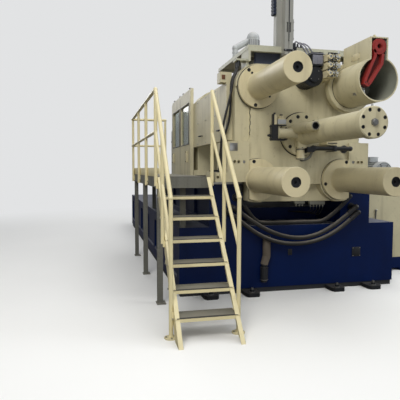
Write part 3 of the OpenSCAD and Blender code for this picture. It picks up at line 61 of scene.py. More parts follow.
def srgb(red: int, green: int, blue: int) -> Rgb:
    """Turns an eight-bit screen colour into the linear colour that shaders use.

    Args:
        red: Red from 0 to 255.
        green: Green from 0 to 255.
        blue: Blue from 0 to 255.

    Returns:
        The colour as three linear numbers.
    """
    parts = [c / 255 for c in (red, green, blue)]
    return tuple(c / 12.92 if c <= 0.04045 else ((c + 0.055) / 1.055) ** 2.4 for c in parts)


class Slot(Enum):
    """Material slots of the record."""

    NAVY = "navy_paint"
    CREAM = "cream_paint"
    PALE_CREAM = "pale_cream_paint"
    RAIL = "rail_paint"
    ROOF = "roof_paint"
    BLACK = "black_steel"
    SILL = "sill_paint"
    RED = "red_paint"
    GROUND = "ground_steel"
    CHROME = "hard_chrome"
    MAST = "mast_alloy"
    CHAIN = "chain_plastic"
    BLOWER = "blower_paint"
    HOSE = "hose_rubber"
    SIDE_HOSE = "side_hose_rubber"
    BOTTLE = "bottle_paint"
    CAST = "grey_cast"
    DECK = "deck_plate"


class Pattern(Enum):
    """Fine structure that a finish adds to its surface."""

    PEEL = "orange peel of sprayed paint"
    BRUSHED = "fine lines from grinding"
    CAST = "coarse grain of a casting"
    TREAD = "raised tread pattern"
    SMOOTH = "almost no structure"


@dataclass(frozen=True)
class Finish:
    """One finish: its colours and how far each kind of wear has gone.

    Args:
        slot: The record's slot.
        color: Clean colour.
        roughness: Roughness where clean.
        metallic: 1 for bare metal.
        mottle: How much the colour varies in large patches.
        stain: Colour of oil and rust runs.
        stains: How much of the surface the runs reach.
        dust: Colour of settled dust.
        dusting: How thick dust lies on what faces up.
        bare: Colour under the paint.
        wear: How far paint has gone from the edges.
        pattern: Fine structure.
        grain: Size of the fine structure, in ripples a metre.
        relief: Height of the fine structure in metres.
        coat: Clear gloss over the colour.
        gloss: Level of the plain reflection.
    """

    slot: Slot
    color: Rgb
    roughness: float
    metallic: float = 0.0
    mottle: float = 0.12
    stain: Rgb = srgb(92, 78, 52)
    stains: float = 0.25
    dust: Rgb = srgb(150, 144, 126)
    dusting: float = 0.3
    bare: Rgb = srgb(96, 90, 80)
    wear: float = 0.5
    pattern: Pattern = Pattern.PEEL
    grain: float = 140.0
    relief: float = 0.0004
    coat: float = 0.0
    gloss: float = 0.5


FINISHES: tuple[Finish, ...] = (
    Finish(Slot.NAVY, srgb(0, 26, 76), 0.42, mottle=0.3, stain=srgb(8, 16, 36), stains=0.22,
           dust=srgb(124, 126, 132), dusting=0.75, bare=srgb(56, 60, 70), wear=0.3, gloss=0.2),
    Finish(Slot.CREAM, srgb(206, 198, 165), 0.48, mottle=0.2, stains=0.45, wear=0.5, coat=0.04, gloss=0.4),
    Finish(Slot.PALE_CREAM, srgb(214, 203, 166), 0.4, mottle=0.12, stains=0.3, wear=0.4, coat=0.1),
    Finish(Slot.RAIL, srgb(234, 222, 176), 0.38, mottle=0.08, stains=0.15, wear=0.4, grain=60.0, coat=0.2),
    Finish(Slot.ROOF, srgb(186, 186, 166), 0.45, mottle=0.14, stains=0.3, dusting=0.5, wear=0.4),
    Finish(Slot.BLACK, srgb(27, 30, 36), 0.42, mottle=0.3, stain=srgb(58, 50, 40), stains=0.3,
           dust=srgb(96, 92, 84), dusting=0.4, bare=srgb(96, 94, 90), wear=0.22),
    Finish(Slot.SILL, srgb(44, 46, 50), 0.6, mottle=0.4, stain=srgb(80, 72, 58), stains=0.5,
           dust=srgb(110, 104, 92), dusting=0.6, wear=0.3),
    Finish(Slot.RED, srgb(150, 38, 32), 0.4, mottle=0.25, stain=srgb(52, 16, 14), stains=0.3,
           dust=srgb(196, 140, 128), dusting=0.35, bare=srgb(120, 104, 96), wear=0.6, coat=0.2),
    Finish(Slot.GROUND, srgb(168, 168, 166), 0.34, 1.0, 0.16, srgb(70, 56, 38), 0.3, dusting=0.2,
           wear=0.0, pattern=Pattern.BRUSHED, grain=260.0, relief=0.00012),
    Finish(Slot.CHROME, srgb(206, 208, 210), 0.16, 1.0, 0.05, srgb(90, 80, 60), 0.12, dusting=0.08,
           wear=0.0, pattern=Pattern.BRUSHED, grain=400.0, relief=0.00004),
    Finish(Slot.MAST, srgb(166, 166, 160), 0.46, 0.45, 0.15, dusting=0.25, wear=0.0,
           pattern=Pattern.BRUSHED, grain=200.0, relief=0.0001),
    Finish(Slot.CHAIN, srgb(30, 42, 66), 0.5, mottle=0.2, dusting=0.3, wear=0.0, pattern=Pattern.SMOOTH),
    Finish(Slot.BLOWER, srgb(178, 182, 184), 0.42, mottle=0.1, stains=0.2, dusting=0.35, wear=0.3),
    Finish(Slot.HOSE, srgb(40, 39, 38), 0.68, mottle=0.25, stain=srgb(66, 60, 50), stains=0.3,
           dust=srgb(138, 132, 122), dusting=0.95, wear=0.0, pattern=Pattern.CAST, grain=420.0, relief=0.0003),
    Finish(Slot.SIDE_HOSE, srgb(22, 22, 24), 0.5, mottle=0.2, stains=0.1, dust=srgb(80, 78, 74),
           dusting=0.3, wear=0.0, pattern=Pattern.CAST, grain=420.0, relief=0.0002),
    Finish(Slot.BOTTLE, srgb(120, 126, 130), 0.4, mottle=0.12, stains=0.25, dusting=0.3, wear=0.4, coat=0.1),
    Finish(Slot.CAST, srgb(122, 122, 114), 0.5, 0.6, 0.22, srgb(60, 54, 42), 0.4, dusting=0.25,
           wear=0.2, pattern=Pattern.CAST, grain=160.0, relief=0.0006),
    Finish(Slot.DECK, srgb(120, 120, 112), 0.55, 0.3, 0.25, srgb(64, 56, 44), 0.45, dusting=0.5,
           wear=0.3, pattern=Pattern.TREAD, grain=22.0, relief=0.0018),
)


class NodeTree:
    """A short way to add, set and link the nodes of one tree."""

    def __init__(self, tree: bpy.types.NodeTree) -> None:
        """Keeps the tree.

        Args:
            tree: A shader or geometry node tree.
        """
        self.tree = tree

    def add(self, kind: str, values: dict[str | int, object] | None = None, **settings: object) -> bpy.types.Node:
        """Adds a node.

        Args:
            kind: Blender's name of the node type.
            values: Socket values by socket name or place.
            settings: Properties of the node.

        Returns:
            The node.
        """
        node = self.tree.nodes.new(kind)
        for key, value in settings.items():
            setattr(node, key, value)
        for key, value in (values or {}).items():
            node.inputs[key].default_value = value
        return node

    def link(self, source: bpy.types.NodeSocket, target: bpy.types.NodeSocket) -> None:
        """Links an output to an input."""
        self.tree.links.new(source, target)

    def feed(self, target: bpy.types.NodeSocket, value: object) -> None:
        """Gives an input its value or links the socket that feeds it.

        Args:
            target: The input.
            value: A socket, a number, or three numbers for a colour.
        """
        if isinstance(value, bpy.types.NodeSocket):
            self.link(value, target)
        else:
            target.default_value = (*value, 1.0) if target.type == "RGBA" else value

    def math(self, operation: str, first: object, second: object = 0.0, clamp: bool = False) -> bpy.types.NodeSocket:
        """Adds a Math node on two sockets or numbers.

        Args:
            operation: Name of the operation.
            first: A socket or a number.
            second: A socket or a number.
            clamp: Whether the result stays from 0 to 1.

        Returns:
            The result socket.
        """
        node = self.add("ShaderNodeMath", operation=operation, use_clamp=clamp)
        self.feed(node.inputs[0], first)
        self.feed(node.inputs[1], second)
        return node.outputs[0]

    def blend(self, factor: object, first: object, second: object) -> bpy.types.NodeSocket:
        """Mixes two colours.

        Args:
            factor: A socket or a number from 0 to 1.
            first: The colour at 0, as a socket or three numbers.
            second: The colour at 1, as a socket or three numbers.

        Returns:
            The mixed colour.
        """
        node = self.add("ShaderNodeMix", data_type="RGBA")
        for place, value in ((0, factor), (MIX_FIRST, first), (MIX_SECOND, second)):
            self.feed(node.inputs[place], value)
        return node.outputs[MIX_RESULT]

    def noise(self, scale: object, detail: float = 4.0, stretch: Point = (1, 1, 1)) -> bpy.types.NodeSocket:
        """Adds a noise on Object coordinates.

        Args:
            scale: Ripples a metre, as a socket or a number.
            detail: Number of finer layers.
            stretch: Factor on each axis of the coordinates.

        Returns:
            The noise from 0 to 1.
        """
        place = self.add("ShaderNodeTexCoord")
        mapping = self.add("ShaderNodeMapping", {"Scale": tuple(stretch)})
        noise = self.add("ShaderNodeTexNoise", {"Detail": detail})
        self.link(place.outputs["Object"], mapping.inputs["Vector"])
        self.link(mapping.outputs[0], noise.inputs["Vector"])
        self.feed(noise.inputs["Scale"], scale)
        return noise.outputs["Fac"]

    def ramp(self, source: bpy.types.NodeSocket, low: object, high: object) -> bpy.types.NodeSocket:
        """Spreads the part of a value between two bounds over 0 to 1.

        Args:
            source: The value.
            low: What becomes 0.
            high: What becomes 1.

        Returns:
            The clamped result.
        """
        node = self.add("ShaderNodeMapRange", interpolation_type="SMOOTHSTEP")
        self.link(source, node.inputs["Value"])
        self.feed(node.inputs["From Min"], low)
        self.feed(node.inputs["From Max"], high)
        return node.outputs[0]


def new_material(name: str) -> tuple[bpy.types.Material, NodeTree, bpy.types.Node]:
    """Starts a material.

    Args:
        name: Name of the material.

    Returns:
        The material, the builder of its tree and its shader node.
    """
    material = bpy.data.materials.new(name)
    material.use_nodes = True
    return material, NodeTree(material.node_tree), material.node_tree.nodes["Principled BSDF"]


def add_object(name: str, data: bpy.types.ID) -> bpy.types.Object:
    """Puts a new object into the scene.

    Args:
        name: Name of the object.
        data: Its mesh, curve, lamp or camera.

    Returns:
        The object.
    """
    made = bpy.data.objects.new(name, data)
    bpy.context.scene.collection.objects.link(made)
    return made


class EffectGroups:
    """Shader groups for the effects that several finishes share."""

    def __init__(self) -> None:
        """Builds each group once."""
        self.mottle = self._mottle()
        self.edges = self._edges()
        self.dust = self._dust()
        self.runs = self._runs()
        self.grain = self._grain()

    @staticmethod
    def _group(
        name: str, inputs: dict[str, float | Rgb], output: str, color: bool = False,
    ) -> tuple[NodeTree, bpy.types.Node, bpy.types.Node]:
        """Starts a group with named sockets.

        Args:
            name: Name of the group.
            inputs: Input names with their first values.
            output: Name of the only output.
            color: Whether the output is a colour.

        Returns:
            The tree's builder, the group's input node and its output node.
        """
        tree = bpy.data.node_groups.new(name, "ShaderNodeTree")
        for key, value in inputs.items():
            kind = "NodeSocketFloat" if isinstance(value, float) else "NodeSocketColor"
            socket = tree.interface.new_socket(key, in_out="INPUT", socket_type=kind)
            socket.default_value = value if isinstance(value, float) else (*value, 1.0)
        kind = "NodeSocketColor" if color else "NodeSocketFloat"
        tree.interface.new_socket(output, in_out="OUTPUT", socket_type=kind)
        build = NodeTree(tree)
        return build, build.add("NodeGroupInput"), build.add("NodeGroupOutput")

    def _mottle(self) -> bpy.types.NodeTree:
        """Patches of slightly darker and lighter colour."""
        build, given, out = self._group(
            "paint_mottle", {"Color": (0.5, 0.5, 0.5), "Depth": 0.1, "Scale": 2.5}, "Color", True,
        )
        patches = build.ramp(build.noise(given.outputs["Scale"], 6.0), 0.3, 0.7)
        shade = build.math("MULTIPLY", patches, given.outputs["Depth"])
        dark = build.add("ShaderNodeMix", {0: 1.0}, data_type="RGBA", blend_type="MULTIPLY")
        build.feed(dark.inputs[MIX_FIRST], given.outputs["Color"])
        build.feed(dark.inputs[MIX_SECOND], (0.35, 0.34, 0.31))
        build.link(build.blend(shade, given.outputs["Color"], dark.outputs[MIX_RESULT]), out.inputs[0])
        return build.tree

    def _edges(self) -> bpy.types.NodeTree:
        """Broken bands along sharp edges, where paint has worn off."""
        build, given, out = self._group("edge_wear", {"Amount": 0.5, "Width": 0.006}, "Mask")
        bevel = build.add("ShaderNodeBevel", samples=4)
        build.link(given.outputs["Width"], bevel.inputs["Radius"])
        plain = build.add("ShaderNodeNewGeometry")
        dot = build.add("ShaderNodeVectorMath", operation="DOT_PRODUCT")
        build.link(bevel.outputs[0], dot.inputs[0])
        build.link(plain.outputs["Normal"], dot.inputs[1])
        rim = build.math("SUBTRACT", 1.0, dot.outputs["Value"])
        broken = build.ramp(build.noise(38.0, 6.0), 0.44, 0.66)
        mask = build.math("MULTIPLY", build.ramp(rim, 0.02, 0.16), broken)
        build.link(build.math("MULTIPLY", mask, given.outputs["Amount"], True), out.inputs[0])
        return build.tree

    def _dust(self) -> bpy.types.NodeTree:
        """Dust that settles on what faces up, thicker in patches."""
        build, given, out = self._group("settled_dust", {"Amount": 0.5, "Scale": 7.0}, "Mask")
        geometry = build.add("ShaderNodeNewGeometry")
        axis = build.add("ShaderNodeSeparateXYZ")
        build.link(geometry.outputs["Normal"], axis.inputs[0])
        up = build.ramp(axis.outputs["Z"], 0.15, 0.95)
        thick = build.math(
            "ADD", build.math("MULTIPLY", build.ramp(build.noise(given.outputs["Scale"], 8.0), 0.25, 0.75), 0.45), 0.6,
        )
        mask = build.math("MULTIPLY", up, thick)
        build.link(build.math("MULTIPLY", mask, given.outputs["Amount"], True), out.inputs[0])
        return build.tree

    def _runs(self) -> bpy.types.NodeTree:
        """Oil and rust runs that go down a wall, with a fine splash pattern between them."""
        build, given, out = self._group("oil_runs", {"Amount": 0.3, "Scale": 9.0}, "Mask")
        streak = build.ramp(build.noise(given.outputs["Scale"], 6.0, (1.0, 1.0, 0.12)), 0.5, 0.82)
        splash = build.ramp(build.noise(30.0, 8.0), 0.58, 0.8)
        both = build.math("ADD", streak, build.math("MULTIPLY", splash, 0.5))
        build.link(build.math("MULTIPLY", both, given.outputs["Amount"], True), out.inputs[0])
        return build.tree

    def _grain(self) -> bpy.types.NodeTree:
        """Fine even grain, as a height from 0 to 1."""
        build, given, out = self._group("fine_grain", {"Scale": 140.0}, "Height")
        fine = build.noise(given.outputs["Scale"], 3.0)
        coarse = build.noise(6.0, 2.0)
        build.link(
            build.math("ADD", build.math("MULTIPLY", fine, 0.7), build.math("MULTIPLY", coarse, 0.3)), out.inputs[0],
        )
        return build.tree


class Paintshop:
    """Builds one material for each finish and dresses pieces with it."""

    def __init__(self, finishes: Iterable[Finish]) -> None:
        """Builds the groups and all materials.

        Args:
            finishes: The finishes of this object.
        """
        self.groups = EffectGroups()
        self.materials: dict[Slot, bpy.types.Material] = {f.slot: self._material(f) for f in finishes}
        self.glass = self._pane()

    def special(self, name: str, slot: Slot, **changes: object) -> bpy.types.Material:
        """Builds a variant of a slot's finish for single pieces.

        Args:
            name: Name of the material.
            slot: The slot whose finish it starts from.
            changes: Values that differ.

        Returns:
            The material.
        """
        base = next(f for f in FINISHES if f.slot is slot)
        return self._material(replace(base, **changes), name)

    def _place(self, build: NodeTree, group: bpy.types.NodeTree, values: dict[str, object]) -> bpy.types.Node:
        """Puts a group into a material.

        Args:
            build: The material's tree.
            group: The group.
            values: Its values or the sockets that feed it.

        Returns:
            The group node.
        """
        node = build.add("ShaderNodeGroup", node_tree=group)
        for key, value in values.items():
            build.feed(node.inputs[key], value)
        return node

    def _height(self, build: NodeTree, finish: Finish) -> bpy.types.NodeSocket:
        """Builds the height of a finish's fine structure.

        Args:
            build: The material's tree.
            finish: The finish.

        Returns:
            A height from 0 to 1.
        """
        if finish.pattern is Pattern.BRUSHED:
            return build.noise(finish.grain, 3.0, (1.0, 0.04, 1.0))
        if finish.pattern is Pattern.TREAD:
            place = build.add("ShaderNodeTexCoord")
            turn = build.add(
                "ShaderNodeMapping",
                {"Rotation": (0.0, 0.0, math.radians(45)), "Scale": (finish.grain, finish.grain, finish.grain)},
            )
            tread = build.add("ShaderNodeTexVoronoi", {"Scale": 1.0, "Randomness": 0.0}, distance="CHEBYCHEV")
            build.link(place.outputs["Object"], turn.inputs[0])
            build.link(turn.outputs[0], tread.inputs["Vector"])
            return build.ramp(tread.outputs["Distance"], 0.34, 0.22)
        grain = self._place(build, self.groups.grain, {"Scale": finish.grain})
        return grain.outputs[0]

    def _material(self, finish: Finish, name: str = "") -> bpy.types.Material:
        """Builds the material of one finish.

        Args:
            finish: The finish.
            name: Name of the material, the slot's own where it isn't given.

        Returns:
            The material.
        """
        material, build, shader = new_material(name or finish.slot.value)
        color = self._place(build, self.groups.mottle, {"Color": finish.color, "Depth": finish.mottle}).outputs[0]
        runs = self._place(build, self.groups.runs, {"Amount": finish.stains}).outputs[0]
        dust = self._place(build, self.groups.dust, {"Amount": finish.dusting}).outputs[0]
        color = build.blend(runs, color, finish.stain)
        color = build.blend(dust, color, finish.dust)
        rough = build.math("ADD", build.math("MULTIPLY", dust, 0.35), build.math("MULTIPLY", runs, 0.12))
        rough = build.math("ADD", rough, finish.roughness, True)
        if finish.wear:
            edges = self._place(build, self.groups.edges, {"Amount": finish.wear}).outputs[0]
            color = build.blend(edges, color, finish.bare)
            if finish.metallic == 0:
                build.link(build.math("MULTIPLY", edges, 0.6), shader.inputs["Metallic"])
        build.link(color, shader.inputs["Base Color"])
        build.link(rough, shader.inputs["Roughness"])
        if finish.metallic:
            shader.inputs["Metallic"].default_value = finish.metallic
        shader.inputs["Specular IOR Level"].default_value = finish.gloss
        shader.inputs["Coat Weight"].default_value = finish.coat
        shader.inputs["Coat Roughness"].default_value = 0.25
        bump = build.add("ShaderNodeBump", {"Strength": 0.6, "Distance": finish.relief})
        build.link(self._height(build, finish), bump.inputs["Height"])
        build.link(bump.outputs[0], shader.inputs["Normal"])
        return material

    @staticmethod
    def _pane() -> bpy.types.Material:
        """Builds the smoky sheet of the guard windows.

        Returns:
            The material.
        """
        material, build, shader = new_material("window_sheet")
        shader.inputs["Base Color"].default_value = (*srgb(176, 186, 176), 1.0)
        shader.inputs["IOR"].default_value = 1.5
        shader.inputs["Transmission Weight"].default_value = 0.85
        rough = build.ramp(build.noise(5.0, 6.0), 0.2, 1.4)
        build.link(build.math("MULTIPLY", rough, 0.4), shader.inputs["Roughness"])
        return material

    def dress_frame(self) -> None:
        """Gives every CAD node the finish of its slot."""
        slots = {part["node"]: part["material_slot"] for part in frame["record"]["subparts"]}
        for name, node in frame["nodes"].items():
            material = self.materials[Slot(slots[name])]
            if not node.data.materials:
                node.data.materials.append(material)
            for place in node.material_slots:
                place.material = material
            LOG.info("node %s wears %s", name, slots[name])


def placed(origin: Point, axis: Point) -> Matrix:
    """Works out where a solid drawn along Z goes.

    Args:
        origin: Where its origin goes.
        axis: Where its Z axis points.

    Returns:
        The matrix.
    """
    return Matrix.Translation(Vector(origin)) @ Vector(axis).to_track_quat("Z", "Y").to_matrix().to_4x4()


class Shape:
    """Collects solids in one mesh, with their places in it."""

    def __init__(self, name: str) -> None:
        """Starts an empty shape.

        Args:
            name: Name of the finished piece.
        """
        self.name = name
        self.mesh = bmesh.new()

    def box(self, low: Point, high: Point, bevel: float = 0.0) -> "Shape":
        """Adds a box.

        Args:
            low: One corner.
            high: The opposite corner.
            bevel: Width of the bevel on its edges.

        Returns:
            This shape.
        """
        a, b = Vector(map(min, low, high)), Vector(map(max, low, high))
        matrix = Matrix.Translation((a + b) / 2) @ Matrix.Diagonal((*(b - a), 1.0))
        if not bevel:
            bmesh.ops.create_cube(self.mesh, size=1.0, matrix=matrix)
            return self
        # A bevel made among other solids orders and splits their faces in another way each run, so it is made apart.
        block = bmesh.new()
        bmesh.ops.create_cube(block, size=1.0, matrix=matrix)
        bmesh.ops.bevel(block, geom=block.edges[:], offset=bevel, segments=2, affect="EDGES", profile=0.5)
        copies = {vert: self.mesh.verts.new(vert.co) for vert in block.verts}
        for face in block.faces:
            self.mesh.faces.new([copies[vert] for vert in face.verts])
        block.free()
        return self

    def bar(self, start: Point, end: Point, radius: float, far: float | None = None, sides: int = 24) -> "Shape":
        """Adds a round bar or a cone between two points.

        Args:
            start: Centre of one end.
            end: Centre of the other end.
            radius: Radius at the start.
            far: Radius at the end, the same where it isn't given.
            sides: Number of sides.

        Returns:
            This shape.
        """
        a, b = Vector(start), Vector(end)
        bmesh.ops.create_cone(
            self.mesh, cap_ends=True, segments=sides, radius1=radius, radius2=radius if far is None else far,
            depth=(b - a).length, matrix=placed((a + b) / 2, b - a),
        )
        return self

    def _loops(
        self, origin: Point, axis: Point, profile: Sequence[tuple[float, float]], sides: int,
    ) -> list[list[bmesh.types.BMVert]]:
        """Makes a loop of vertices about an axis for each corner of a profile.

        Args:
            origin: A point on the axis.
            axis: Direction of the axis.
            profile: Radius and distance along the axis at each corner.
            sides: Number of vertices in a loop.

        Returns:
            The loops.
        """
        turn = placed(origin, axis)
        angles = [math.tau * k / sides for k in range(sides)]
        return [
            [self.mesh.verts.new(turn @ Vector((r * math.cos(a), r * math.sin(a), h))) for a in angles]
            for r, h in profile
        ]

    def _skin(self, loops: Sequence[list[bmesh.types.BMVert]]) -> None:
        """Joins each loop of vertices to the next with faces."""
        for low, high in zip(loops, loops[1:]):
            for corners in zip(low, low[1:] + low[:1], high[1:] + high[:1], high):
                self.mesh.faces.new(corners)

    def _closed(self, loops: Sequence[list[bmesh.types.BMVert]]) -> "Shape":
        """Joins loops of vertices and closes both ends.

        Args:
            loops: The loops in order.

        Returns:
            This shape.
        """
        self._skin(loops)
        self.mesh.faces.new(list(reversed(loops[0])))
        self.mesh.faces.new(loops[-1])
        return self

    def turned(self, origin: Point, axis: Point, profile: Sequence[tuple[float, float]], sides: int = 32) -> "Shape":
        """Adds a piece turned about an axis.

        Args:
            origin: A point on the axis.
            axis: Direction of the axis.
            profile: Radius and distance along the axis at each corner; the ends are closed.
            sides: Number of sides.

        Returns:
            This shape.
        """
        return self._closed(self._loops(origin, axis, profile, sides))

    def ring(self, origin: Point, axis: Point, inner: float, outer: float, height: float, sides: int = 32) -> "Shape":
        """Adds a washer.

        Args:
            origin: Centre of its foot.
            axis: Direction it grows in.
            inner: Radius of the hole.
            outer: Outer radius.
            height: Thickness.
            sides: Number of sides.

        Returns:
            This shape.
        """
        profile = [(inner, 0.0), (outer, 0.0), (outer, height), (inner, height)]
        loops = self._loops(origin, axis, profile, sides)
        self._skin([*loops, loops[0]])
        return self

    def prism(self, outline: Sequence[tuple[float, float]], low: float, high: float, axis: str = "X") -> "Shape":
        """Adds a flat outline pushed along an axis.

        Args:
            outline: Corners in the plane's two axes, in their order X, Y, Z.
            low: Where it starts along the axis.
            high: Where it ends along the axis.
            axis: X, Y or Z.

        Returns:
            This shape.
        """
        at = "XYZ".index(axis)

        def corner(point: tuple[float, float], along: float) -> Vector:
            """Places one corner in space."""
            values = list(point)
            values.insert(at, along)
            return Vector(values)

        near = [self.mesh.verts.new(corner(p, low)) for p in outline]
        far = [self.mesh.verts.new(corner(p, high)) for p in outline]
        count = len(outline)
        self.mesh.faces.new(near)
        self.mesh.faces.new(list(reversed(far)))
        for k in range(count):
            n = (k + 1) % count
            self.mesh.faces.new((near[k], far[k], far[n], near[n]))
        return self

    def tube(self, points: Sequence[Point], radius: float, sides: int = 12) -> "Shape":
        """Adds a closed tube along points.

        Args:
            points: Centre line.
            radius: Radius of the tube.
            sides: Number of sides.

        Returns:
            This shape.
        """
        line = [Vector(p) for p in points]
        angles = [math.tau * n / sides for n in range(sides)]
        rings = []
        side = None
        for k, point in enumerate(line):
            ahead = (line[min(k + 1, len(line) - 1)] - line[max(k - 1, 0)]).normalized()
            if side is None:
                side = ahead.orthogonal().normalized()
            side = (side - ahead * side.dot(ahead)).normalized()
            other = ahead.cross(side)
            rings.append([
                self.mesh.verts.new(point + radius * (math.cos(a) * side + math.sin(a) * other)) for a in angles
            ])
        return self._closed(rings)

    def done(
        self, shop: Paintshop, slot: Slot, material: bpy.types.Material | None = None, angle: float = 35.0,
    ) -> bpy.types.Object:
        """Finishes the piece, paints it and lets it ride on the machine.

        Args:
            shop: The materials.
            slot: The record's slot.
            material: A special material of that slot.
            angle: Edges sharper than this stay sharp.

        Returns:
            The piece.
        """
        bmesh.ops.recalc_face_normals(self.mesh, faces=self.mesh.faces[:])
        mesh = bpy.data.meshes.new(self.name)
        self.mesh.to_mesh(mesh)
        self.mesh.free()
        return settle(add_object(self.name, mesh), shop, slot, material, angle)


def settle(
    piece: bpy.types.Object, shop: Paintshop, slot: Slot, material: bpy.types.Material | None = None,
    angle: float = 35.0,
) -> bpy.types.Object:
    """Gives a finished piece its smoothing, material, slot and body.

    Args:
        piece: The mesh object.
        shop: The materials.
        slot: The record's slot.
        material: A special material of that slot.
        angle: Edges sharper than this stay sharp.

    Returns:
        The piece.
    """
    mesh = piece.data
    mesh.shade_smooth()
    mesh.set_sharp_from_angle(angle=math.radians(angle))
    mesh.materials.clear()
    mesh.materials.append(material or shop.materials[slot])
    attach(piece, "root")
    LOG.info("%s: %d faces", piece.name, len(mesh.polygons))
    return piece


class GeometryTree(NodeTree):
    """A geometry node tree with named inputs, run once on a mesh or curve."""

    def __init__(self, name: str, inputs: dict[str, tuple[str, object]]) -> None:
        """Starts the tree.

        Args:
            name: Name of the tree.
            inputs: Socket kind and first value of each named input.
        """
        tree = bpy.data.node_groups.new(name, "GeometryNodeTree")
        tree.interface.new_socket("Geometry", in_out="INPUT", socket_type="NodeSocketGeometry")
        tree.interface.new_socket("Geometry", in_out="OUTPUT", socket_type="NodeSocketGeometry")
        self.keys: dict[str, str] = {}
        for key, (kind, value) in inputs.items():
            socket = tree.interface.new_socket(key, in_out="INPUT", socket_type=kind)
            if value is not None:
                socket.default_value = value
            self.keys[key] = socket.identifier
        super().__init__(tree)
        self.given = self.add("NodeGroupInput")
        self.out = self.add("NodeGroupOutput")

    def close(self, geometry: bpy.types.NodeSocket) -> None:
        """Ends the tree in real meshes with a material.

        Args:
            geometry: What the tree has made.
        """
        real = self.add("GeometryNodeRealizeInstances")
        paint = self.add("GeometryNodeSetMaterial")
        self.link(geometry, real.inputs[0])
        self.link(real.outputs[0], paint.inputs["Geometry"])
        self.link(self.given.outputs["Material"], paint.inputs["Material"])
        self.link(paint.outputs[0], self.out.inputs[0])

    def scatter(self, instance: bpy.types.NodeSocket) -> None:
        """Copies a mesh onto each looking point and ends the tree.

        Args:
            instance: The mesh.
        """
        aim = self.add("GeometryNodeInputNamedAttribute", {"Name": "aim"}, data_type="FLOAT_VECTOR")
        turn = self.add("FunctionNodeAlignRotationToVector", axis="Z")
        self.link(aim.outputs["Attribute"], turn.inputs["Vector"])
        copy = self.add("GeometryNodeInstanceOnPoints")
        self.link(self.given.outputs["Geometry"], copy.inputs["Points"])
        self.link(instance, copy.inputs["Instance"])
        self.link(turn.outputs[0], copy.inputs["Rotation"])
        self.close(copy.outputs[0])

    def run(self, source: bpy.types.Object, name: str, values: dict[str, object]) -> bpy.types.Object:
        """Runs the tree on an object and keeps the result as a plain mesh.

        Args:
            source: A mesh or curve object, which is used up.
            name: Name of the result.
            values: Input values by name.

        Returns:
            The new piece.
        """
        modifier = source.modifiers.new(self.tree.name, "NODES")
        modifier.node_group = self.tree
        for key, value in values.items():
            modifier[self.keys[key]] = value
        graph = bpy.context.evaluated_depsgraph_get()
        graph.update()
        mesh = bpy.data.meshes.new_from_object(source.evaluated_get(graph))
        mesh.name = name
        source.modifiers.remove(modifier)
        bpy.data.objects.remove(source)
        return add_object(name, mesh)


def points_mesh(name: str, places: Sequence[tuple[Point, Point]]) -> bpy.types.Object:
    """Makes loose points that know which way they look.

    Args:
        name: Name of the object.
        places: Position and direction of each point.

    Returns:
        The object.
    """
    mesh = bpy.data.meshes.new(name)
    mesh.from_pydata([tuple(p) for p, _ in places], [], [])
    aim = mesh.attributes.new("aim", "FLOAT_VECTOR", "POINT")
    for k, (_, way) in enumerate(places):
        aim.data[k].vector = Vector(way)
    return add_object(name, mesh)


def path_curve(name: str, points: Sequence[Point]) -> bpy.types.Object:
    """Makes an open curve through points.

    Args:
        name: Name of the object.
        points: Points of the curve.

    Returns:
        The curve object.
    """
    curve = bpy.data.curves.new(name, "CURVE")
    curve.dimensions = "3D"
    spline = curve.splines.new("POLY")
    spline.points.add(len(points) - 1)
    for at, point in zip(spline.points, points):
        at.co = (*point, 1.0)
    return add_object(name, curve)


def smooth_line(points: Sequence[Point], steps: int) -> list[Vector]:
    """Rounds a line of points with a curve that goes through them.

    Args:
        points: The line's own points.
        steps: Pieces in each span.

    Returns:
        The finer line.
    """
    line = [Vector(p) for p in points]
    ends = [2 * line[0] - line[1], *line, 2 * line[-1] - line[-2]]
    result = []
    for a, b, c, d in zip(ends, ends[1:], ends[2:], ends[3:]):
        for k in range(steps):
            t = k / steps
            result.append(
                0.5 * (2 * b + (c - a) * t + (2 * a - 5 * b + 4 * c - d) * t * t + (3 * b - a - 3 * c + d) * t**3)
            )
    return [*result, line[-1]]


